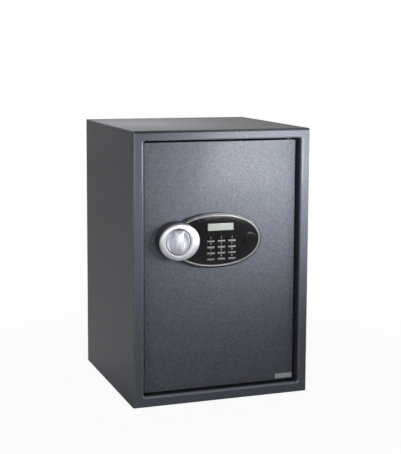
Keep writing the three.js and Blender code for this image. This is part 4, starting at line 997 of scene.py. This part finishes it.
def cap_skin():
    """The round cap over the emergency lock, with a hollow spigot."""
    low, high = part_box("override_cover")
    radius = (high.x - low.x) / 2
    seat = FACE_FRONT - SEAT
    profile = [(TIP, low.y - CAP_CROWN), (radius * CAP_CROWN_AT, low.y - CAP_CROWN / 3)]
    for inset, forward in reversed(edge_steps(CAP_EDGE)):
        profile.append((radius - inset, low.y + CAP_EDGE - forward))
    profile += [(radius, seat), (CAP_SPIGOT, seat), (CAP_SPIGOT, high.y)]
    cap = turned("cap_skin", profile, LOCK)
    bore = 2 * (CAP_SPIGOT - CAP_SPIGOT_WALL)
    cut(cap, bar("cap_bore", bore, (seat, high.y + BEYOND), LOCK))
    stand_for(cap, "override_cover", "override_cover", "black_plastic", "cap_black")


def name_plate_skin():
    """The small bare plate on the door."""
    y_span = spans_of("name_plate")[1]
    plate = tile("name_plate_skin", "name_plate", y_span, NAME_PLATE_CORNER, NAME_PLATE_EDGE)
    stand_for(plate, "name_plate", "door", "silver_plastic")


# Knob and bezel


def bezel_skin():
    """A convex ring that rises from an oval rim to a round crest and falls to the knob."""
    rim = bezel_oval(0)
    crest = oval_points(KNOB, BEZEL_CREST, BEZEL_CREST)
    height = BEZEL_BACK - BEZEL_FRONT
    layers = []
    for angle in quarter_turn(BEZEL_STEPS):
        share = 1 - math.cos(angle) ** BEZEL_LEAD
        y = BEZEL_BACK - height * math.sin(angle) ** BEZEL_RISE
        points = [
            (a[0] + (b[0] - a[0]) * share, a[1] + (b[1] - a[1]) * share) for a, b in zip(rim, crest)
        ]
        layers.append((y, points))
    for inset, behind in BEZEL_FALL:
        inner = BEZEL_CREST - inset
        layers.append((BEZEL_FRONT + behind, oval_points(KNOB, inner, inner)))
    layers.append((BEZEL_BACK, oval_points(KNOB, KNOB_BORE, KNOB_BORE)))
    bezel = loft("bezel_skin", layers, ring=True)
    stand_for(bezel, "knob_bezel", "door", "chrome", crisp=CRISP_BEZEL)


def knob_disc():
    """The turned part of the knob: a lip round a scooped dish."""
    inner = KNOB_RADIUS - KNOB_LIP
    floor = KNOB_RIM + KNOB_DISH
    profile = [(TIP, floor), (inner - KNOB_SCOOP, floor)]
    for angle in quarter_turn(SCOOP_STEPS)[1:]:
        radius = inner - KNOB_SCOOP + KNOB_SCOOP * math.sin(angle)
        profile.append((radius, floor - (KNOB_DISH - KNOB_LIP_DROP) * (1 - math.cos(angle))))
    profile.append((inner + KNOB_LIP_EDGE, KNOB_RIM))
    for inset, forward in reversed(edge_steps(KNOB_EDGE)):
        profile.append((KNOB_RADIUS - inset, KNOB_RIM + KNOB_EDGE - forward))
    profile.append((KNOB_RADIUS, ON_BASE))
    return turned("knob_skin", profile, (0, 0))


def grip_outline(bottom, top, z_span):
    """A tapered outline from its widths at the bottom and the top."""
    low, high = z_span
    return [(-bottom / 2, low), (bottom / 2, low), (top / 2, high), (-top / 2, high)]


def knob_grip():
    """A tapered bar across the dish with a hipped front."""
    foot = grip_outline(GRIP_BOTTOM, GRIP_TOP, about(0, KNOB_RADIUS))
    ridge_span = about(GRIP_RIDGE_ABOVE, GRIP_RIDGE / 2)
    ridge = grip_outline(GRIP_RIDGE_WIDTH, GRIP_RIDGE_WIDTH, ridge_span)
    front = ON_BASE - GRIP_HEIGHT
    layers = [(KNOB_RIM + KNOB_DISH + MM, foot), (ON_BASE - GRIP_SHOULDER, foot), (front, ridge)]
    grip = loft("grip", layers)
    span = (front - BEYOND, ON_BASE)
    round_ends = bar("round_ends", 2 * (KNOB_RADIUS - GRIP_END_GAP), span, (0, 0), "y", FINE_SIDES)
    combine(grip, "INTERSECT", [round_ends])
    return soften(grip, GRIP_EDGE)


def dull_the_hip(knob):
    """The upper hip of the grip gets a darker, rougher chrome than its flanks: painted shade."""
    for face in knob.data.polygons:
        upward = face.normal.z > HIP_UP and abs(face.normal.x) < HIP_ACROSS
        if upward and face.center.y < ON_BASE - GRIP_SHOULDER:
            face.material_index = 1


def knob_skin():
    """The knob, its grip leaning a little from upright; it is tidied before it is turned."""
    knob = tidy_normals(join(knob_disc(), knob_grip()), CRISP_KNOB)
    knob.data.transform(Matrix.Rotation(math.radians(GRIP_LEAN), 4, "Y"))
    knob.data.transform(Matrix.Translation((KNOB[0], 0, KNOB[1])))
    stand_for(knob, "knob", "knob", "chrome", "chrome", "hip_chrome_painted_shade", crisp=None)
    dull_the_hip(knob)


# Inside of the door


def bolt_skin(node):
    """A round bolt with a soft nose and a stepped tail in the carriage."""
    low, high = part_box(node)
    centre = centre_of(node)
    radius = (high.z - low.z) / 2
    tail = BOLT_TENON / 2
    shoulder = low.x + BOLT_LENGTH
    seat = shoulder + BOLT_SEAT
    profile = [(TIP, low.x)]
    for along, outward in edge_steps(BOLT_NOSE):
        profile.append((radius - BOLT_NOSE + outward, low.x + along))
    near, far = SHOULDER_EDGE
    profile += [(radius - near, shoulder - near), (radius - far, shoulder)]
    profile += [(tail, shoulder), (tail, seat), (BOLT_RIVET, seat)]
    inset, along = RIVET_EDGE
    profile += [(BOLT_RIVET, high.x - along), (BOLT_RIVET - inset, high.x), (TIP, high.x)]
    skin = turned(node + "_skin", profile, (centre.y, centre.z), "x")
    stand_for(skin, node, "bolt_carriage", "steel")


def cover_outline(node, corner, inset):
    """A cover's outline, moved in by an inset that its corners follow."""
    x, _, z = spans_of(node)
    corner = max(corner - inset, COVER_LEAST_CORNER)
    return rounded_points(grown(x, -inset), grown(z, -inset), corner)


def rounded_back(outline, high_y, radius):
    """Layers of a rounded edge that faces the cabinet's back."""
    steps = edge_steps(radius)
    return [(high_y - radius + forward, outline(inset)) for inset, forward in steps]


def inner_cover_skin():
    """A folded pan over the lock work, with holes for the bolts, batteries and screws."""
    low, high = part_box("inner_cover")
    inside = high.y - COVER_SHEET
    through = (inside - BEYOND, high.y + BEYOND)

    def outline(inset):
        return cover_outline("inner_cover", COVER_CORNER, inset)

    layers = [(low.y, outline(COVER_SHEET)), (low.y, outline(0))]
    pan = loft("inner_cover_skin", layers + rounded_back(outline, high.y, COVER_EDGE))
    room = outline(COVER_SHEET)
    cutters = [loft("room", [(low.y - BEYOND, room), (inside, room)])]
    cutters += bolt_holes((low.x - BEYOND, low.x + 2 * COVER_SHEET))
    x, _, z = spans_of("battery_cover")
    lid = BATTERY_LIP - SEAT
    cutters.append(block("battery_opening", grown(x, -lid), through, grown(z, -lid)))
    cutters.append(bar("button_hole", BUTTON_HOLE, through, across("reset_button")))
    cutters += [bar("screw_hole", SCREW_HOLE, through, across(node)) for node in SCREW_NODES]
    cut(pan, *cutters)
    stand_for(pan, "inner_cover", "door", "powder_coat")


def cover_screw_skin(node):
    """A pan-head screw with a cross recess."""
    low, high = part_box(node)
    x, z = across(node)
    radius = (high.x - low.x) / 2
    head = high.y - SCREW_HEAD
    point, above = SCREW_POINT
    profile = [(TIP, low.y), (point, low.y + above), (SCREW_STEM, low.y + SCREW_TAPER)]
    profile += [(SCREW_STEM, head), (radius, head)]
    for angle in quarter_turn():
        dome = radius * (SCREW_DOME_TOP + SCREW_DOME_RIM * math.cos(angle))
        below = SCREW_HEAD * SCREW_DOME_DEPTH * (1 - math.sin(angle))
        profile.append((dome, high.y - below))
    screw = turned(node + "_skin", profile, (x, z), "y", SMALL_SIDES)
    deep = (high.y - RECESS_DEPTH, high.y + BEYOND)
    for wide, tall in ((RECESS_LONG, RECESS_SHORT), (RECESS_SHORT, RECESS_LONG)):
        cut(screw, block("recess", about(x, wide), deep, about(z, tall)))
    stand_for(screw, node, "door", "zinc_steel")


def finger_grooves():
    """Cutters for the short grooves that give a finger hold on the battery cover."""
    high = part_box("battery_cover")[1]
    x_span = about(centre_of("battery_cover").x, GROOVE_HALF_LENGTH)
    y_span = (high.y - GROOVE_DEPTH, high.y + BEYOND)
    heights = [high.z - GROOVE_FROM_TOP - step * GROOVE_PITCH for step in range(GROOVES)]
    return [block("groove", x_span, y_span, about(z, GROOVE_HALF_WIDTH)) for z in heights]


def battery_cover_skin():
    """A lid with round corners, finger grooves and a lip that sits in the opening."""
    low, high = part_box("battery_cover")
    sheet = high.y - BATTERY_SHEET

    def outline(inset):
        return cover_outline("battery_cover", BATTERY_CORNER, inset)

    layers = [(sheet, outline(0))] + rounded_back(outline, high.y, BATTERY_EDGE)
    lid = loft("battery_cover_skin", layers)
    outside = outline(BATTERY_LIP + SEAT)
    inside = outline(BATTERY_LIP + SEAT + BATTERY_WALL)
    lip = loft("lip", [(low.y, outside), (sheet + BATTERY_LIP_BITE, outside)])
    cut(lip, loft("room", [(low.y - BEYOND, inside), (sheet, inside)]))
    join(lid, lip)
    cut(lid, *finger_grooves())
    stand_for(lid, "battery_cover", "battery_cover", "black_plastic")


def reset_button_skin():
    """A red push button with a round nose and a flange behind the cover."""
    low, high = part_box("reset_button")
    radius = (high.x - low.x) / 2
    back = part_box("inner_cover")[1].y - COVER_SHEET - SEAT
    front = back - BUTTON_FLANGE
    profile = [(TIP, low.y), (BUTTON_STEM, low.y), (BUTTON_STEM, front)]
    profile += [(radius, front), (radius, back), (BUTTON_STEM, back)]
    for inset, forward in edge_steps(BUTTON_NOSE):
        profile.append((BUTTON_STEM - inset, high.y - BUTTON_NOSE + forward))
    profile.append((TIP, high.y))
    button = turned("reset_button_skin", profile, across("reset_button"), "y", SMALL_SIDES)
    stand_for(button, "reset_button", "reset_button", "red_plastic")


# Floor mat


def floor_felt():
    """A felt sheet laid on the cabinet's floor, with holes over the anchors' holes."""
    x, y, z = spans_of("floor_mat")
    outline = rounded_points(x, y, MAT_CORNER)
    vertices = [(*point, height) for height in z for point in outline]
    count = len(outline)
    faces = [tuple(reversed(range(count))), tuple(range(count, 2 * count))]
    faces += [(i, (i + 1) % count, count + (i + 1) % count, count + i) for i in range(count)]
    mat = mesh_piece("floor_felt", vertices, faces)
    for hole in anchor_holes(ANCHOR_HOLE + 2 * MAT_HOLE_MARGIN, grown(z, BEYOND)):
        cut(mat, hole)
    return soften(mat, MAT_EDGE)


def lay_mat():
    """The mat rests on the shell's floor."""
    mat = stand_for(floor_felt(), "floor_mat", "cabinet", "felt")


# Camera and stage

IMAGE_WIDTH = 401
IMAGE_HEIGHT = 454
CAMERA_PLACE = (-0.7399, -2.1572, 0.6691)
CAMERA_YAW = 0.3622
CAMERA_PITCH = 0.1222
CAMERA_ROLL = 0.008
FOCAL_PIXELS = 1146.2
AXIS_PIXEL = (229.24, 186.37)
SENSOR = 36.0

FLOOR_REACH = 6.0
FLOOR_DROP = 0.5 * MM
FLOOR_COLOUR = (0.9, 0.9, 0.9)
FLOOR_WHITE_SHARE = 0.95
FLOOR_BEHIND = 0.3
FLOOR_IN_GLOSS = 0.6
SHADOW_REACH = (0.25, 0.95)
WORLD_LIGHT = 0.02
BACKDROP_EDGE = (0.0, 0.5)
BACKDROP_RIGHT = (0.2, 0.57)
BACKDROP_LEFT = (-0.375, -0.19)

# Name, place, target, size, watts and the angle that the light fills
LAMPS = (
    ("key", (0.35, -0.8, 0.48), (0.1, -0.17, 0.46), 0.3, 0.54, 40),
    ("key_side", (0.5, -0.6, 0.45), (0.04, -0.17, 0.4), 0.35, 0.24, 50),
    ("front", (-0.31, -1.63, 0.6), (0.0, -0.1, 0.28), 0.9, 5.0, 180),
    ("behind_right", (0.57, 0.88, 1.41), (0.0, -0.1, 0.28), 0.9, 3.5, 180),
    ("right", (1.25, -0.55, 0.3), (0.0, -0.17, 0.3), 0.9, 2.5, 180),
    ("above", (-0.12, 0.05, 0.9), (-0.12, 0.02, 0.515), 0.2, 0.16, 50),
    ("left", (-1.2, -0.9, 0.42), (-0.15, -0.17, 0.35), 0.5, 1.5, 180),
)


def make_camera():
    """The photograph's viewpoint; its frame is off the lens's axis."""
    data = bpy.data.cameras.new("camera")
    data.sensor_width = SENSOR
    data.lens = FOCAL_PIXELS * SENSOR / IMAGE_HEIGHT
    data.shift_x = (IMAGE_WIDTH / 2 - AXIS_PIXEL[0]) / IMAGE_HEIGHT
    data.shift_y = (AXIS_PIXEL[1] - IMAGE_HEIGHT / 2) / IMAGE_HEIGHT
    camera = new_object("camera", data)
    right = Vector((math.cos(CAMERA_YAW), -math.sin(CAMERA_YAW), 0))
    level = Vector((math.sin(CAMERA_YAW), math.cos(CAMERA_YAW), 0))
    forward = level * math.cos(CAMERA_PITCH) - Vector((0, 0, math.sin(CAMERA_PITCH)))
    down = forward.cross(right)
    c, s = math.cos(CAMERA_ROLL), math.sin(CAMERA_ROLL)
    rolled_right = right * c - down * s
    rolled_down = right * s + down * c
    turn = Matrix((rolled_right, -rolled_down, -forward)).transposed()
    camera.matrix_world = Matrix.Translation(CAMERA_PLACE) @ turn.to_4x4()
    bpy.context.scene.camera = camera


def math_node(tree, operation, first, second):
    """A node that works on two values."""
    node = tree.nodes.new("ShaderNodeMath")
    node.operation = operation
    tree.links.new(first, node.inputs[0])
    tree.links.new(second, node.inputs[1])
    return node.outputs[0]


def soft_step(tree, value, edge, low=0.0, high=1.0):
    """Goes softly from low to high while the value crosses the edge."""
    node = tree.nodes.new("ShaderNodeMapRange")
    node.interpolation_type = "SMOOTHSTEP"
    node.inputs["From Min"].default_value = edge[0]
    node.inputs["From Max"].default_value = edge[1]
    node.inputs["To Min"].default_value = low
    node.inputs["To Max"].default_value = high
    tree.links.new(value, node.inputs["Value"])
    return node.outputs["Result"]


def split(tree, vector):
    """A vector's X, Y and Z."""
    parts = tree.nodes.new("ShaderNodeSeparateXYZ")
    tree.links.new(vector, parts.inputs[0])
    return parts.outputs


def shown_white(tree, reflections):
    """1 for rays that look at the background, 0 for the light that falls on things.

    Reflections count by the share that is given.
    """
    path = tree.nodes.new("ShaderNodeLightPath").outputs
    glossy = math_node(tree, "MULTIPLY", path["Is Glossy Ray"], reflections)
    seen = math_node(tree, "MAXIMUM", path["Is Camera Ray"], path["Is Transmission Ray"])
    return math_node(tree, "MAXIMUM", seen, glossy)


def floor_white():
    """A pale floor that turns plain white for the camera away from the object."""
    material = bpy.data.materials.new("floor_white")
    material.use_nodes = True
    tree = material.node_tree
    tree.nodes.clear()
    output = tree.nodes.new("ShaderNodeOutputMaterial")
    diffuse = tree.nodes.new("ShaderNodeBsdfDiffuse")
    diffuse.inputs["Color"].default_value = (*FLOOR_COLOUR, 1)
    white = tree.nodes.new("ShaderNodeEmission")
    place = tree.nodes.new("ShaderNodeNewGeometry").outputs["Position"]
    reach = tree.nodes.new("ShaderNodeVectorMath")
    reach.operation = "LENGTH"
    tree.links.new(place, reach.inputs[0])
    away = soft_step(tree, reach.outputs["Value"], SHADOW_REACH, FLOOR_WHITE_SHARE)
    edge = (-FLOOR_BEHIND, FLOOR_BEHIND)
    behind = soft_step(tree, split(tree, place)["Y"], edge, high=FLOOR_IN_GLOSS)
    mix = tree.nodes.new("ShaderNodeMixShader")
    share = math_node(tree, "MULTIPLY", shown_white(tree, behind), away)
    tree.links.new(share, mix.inputs["Fac"])
    tree.links.new(diffuse.outputs[0], mix.inputs[1])
    tree.links.new(white.outputs[0], mix.inputs[2])
    tree.links.new(mix.outputs[0], output.inputs["Surface"])
    return material


def make_floor():
    """A wide plain floor just below the object."""
    reach = FLOOR_REACH
    corners = [(-reach, -reach, 0), (reach, -reach, 0), (reach, reach, 0), (-reach, reach, 0)]
    floor = mesh_piece("floor", corners, [(0, 1, 2, 3)])
    floor.location.z = -FLOOR_DROP
    floor.data.materials.append(floor_white())


def behind_the_object(tree):
    """1 in the directions where the white background stands, 0 on the camera's side."""
    direction = tree.nodes.new("ShaderNodeTexCoord").outputs["Generated"]
    parts = split(tree, direction)
    share = math_node(
        tree,
        "MULTIPLY",
        soft_step(tree, parts["Y"], BACKDROP_EDGE),
        soft_step(tree, parts["X"], BACKDROP_RIGHT[::-1]),
    )
    return math_node(tree, "MULTIPLY", share, soft_step(tree, parts["X"], BACKDROP_LEFT))


def make_world():
    """A white background, and a weak even light from all round."""
    world = bpy.data.worlds.new("world")
    world.use_nodes = True
    tree = world.node_tree
    background = tree.nodes["Background"]
    background.inputs["Color"].default_value = (1, 1, 1, 1)
    strength = tree.nodes.new("ShaderNodeMapRange")
    strength.inputs["To Min"].default_value = WORLD_LIGHT
    strength.inputs["To Max"].default_value = 1.0
    tree.links.new(shown_white(tree, behind_the_object(tree)), strength.inputs["Value"])
    tree.links.new(strength.outputs["Result"], background.inputs["Strength"])
    bpy.context.scene.world = world


def soft_light(name, place, target, size, watts, spread):
    """A square soft box; spread is the angle that its light fills."""
    data = bpy.data.lights.new(name, "AREA")
    data.shape = "SQUARE"
    data.size = size
    data.energy = watts
    data.spread = math.radians(spread)
    light = new_object(name, data)
    light.visible_camera = False
    light.location = place
    light.rotation_euler = (Vector(target) - Vector(place)).to_track_quat("-Z", "Y").to_euler()


bpy.context.scene.view_settings.view_transform = "Standard"
make_camera()
make_world()
for lamp in LAMPS:
    soft_light(*lamp)
make_floor()
finish_nodes()
cabinet_skin()
door_skin()
panel_base_skin()
panel_ring_skin()
panel_face_skin()
display_skin()
for node in KEY_NODES:
    key_skin(node)
legends()
cap_skin()
name_plate_skin()
bezel_skin()
knob_skin()
for node in BOLT_NODES:
    bolt_skin(node)
inner_cover_skin()
for node in SCREW_NODES:
    cover_screw_skin(node)
battery_cover_skin()
reset_button_skin()
lay_mat()
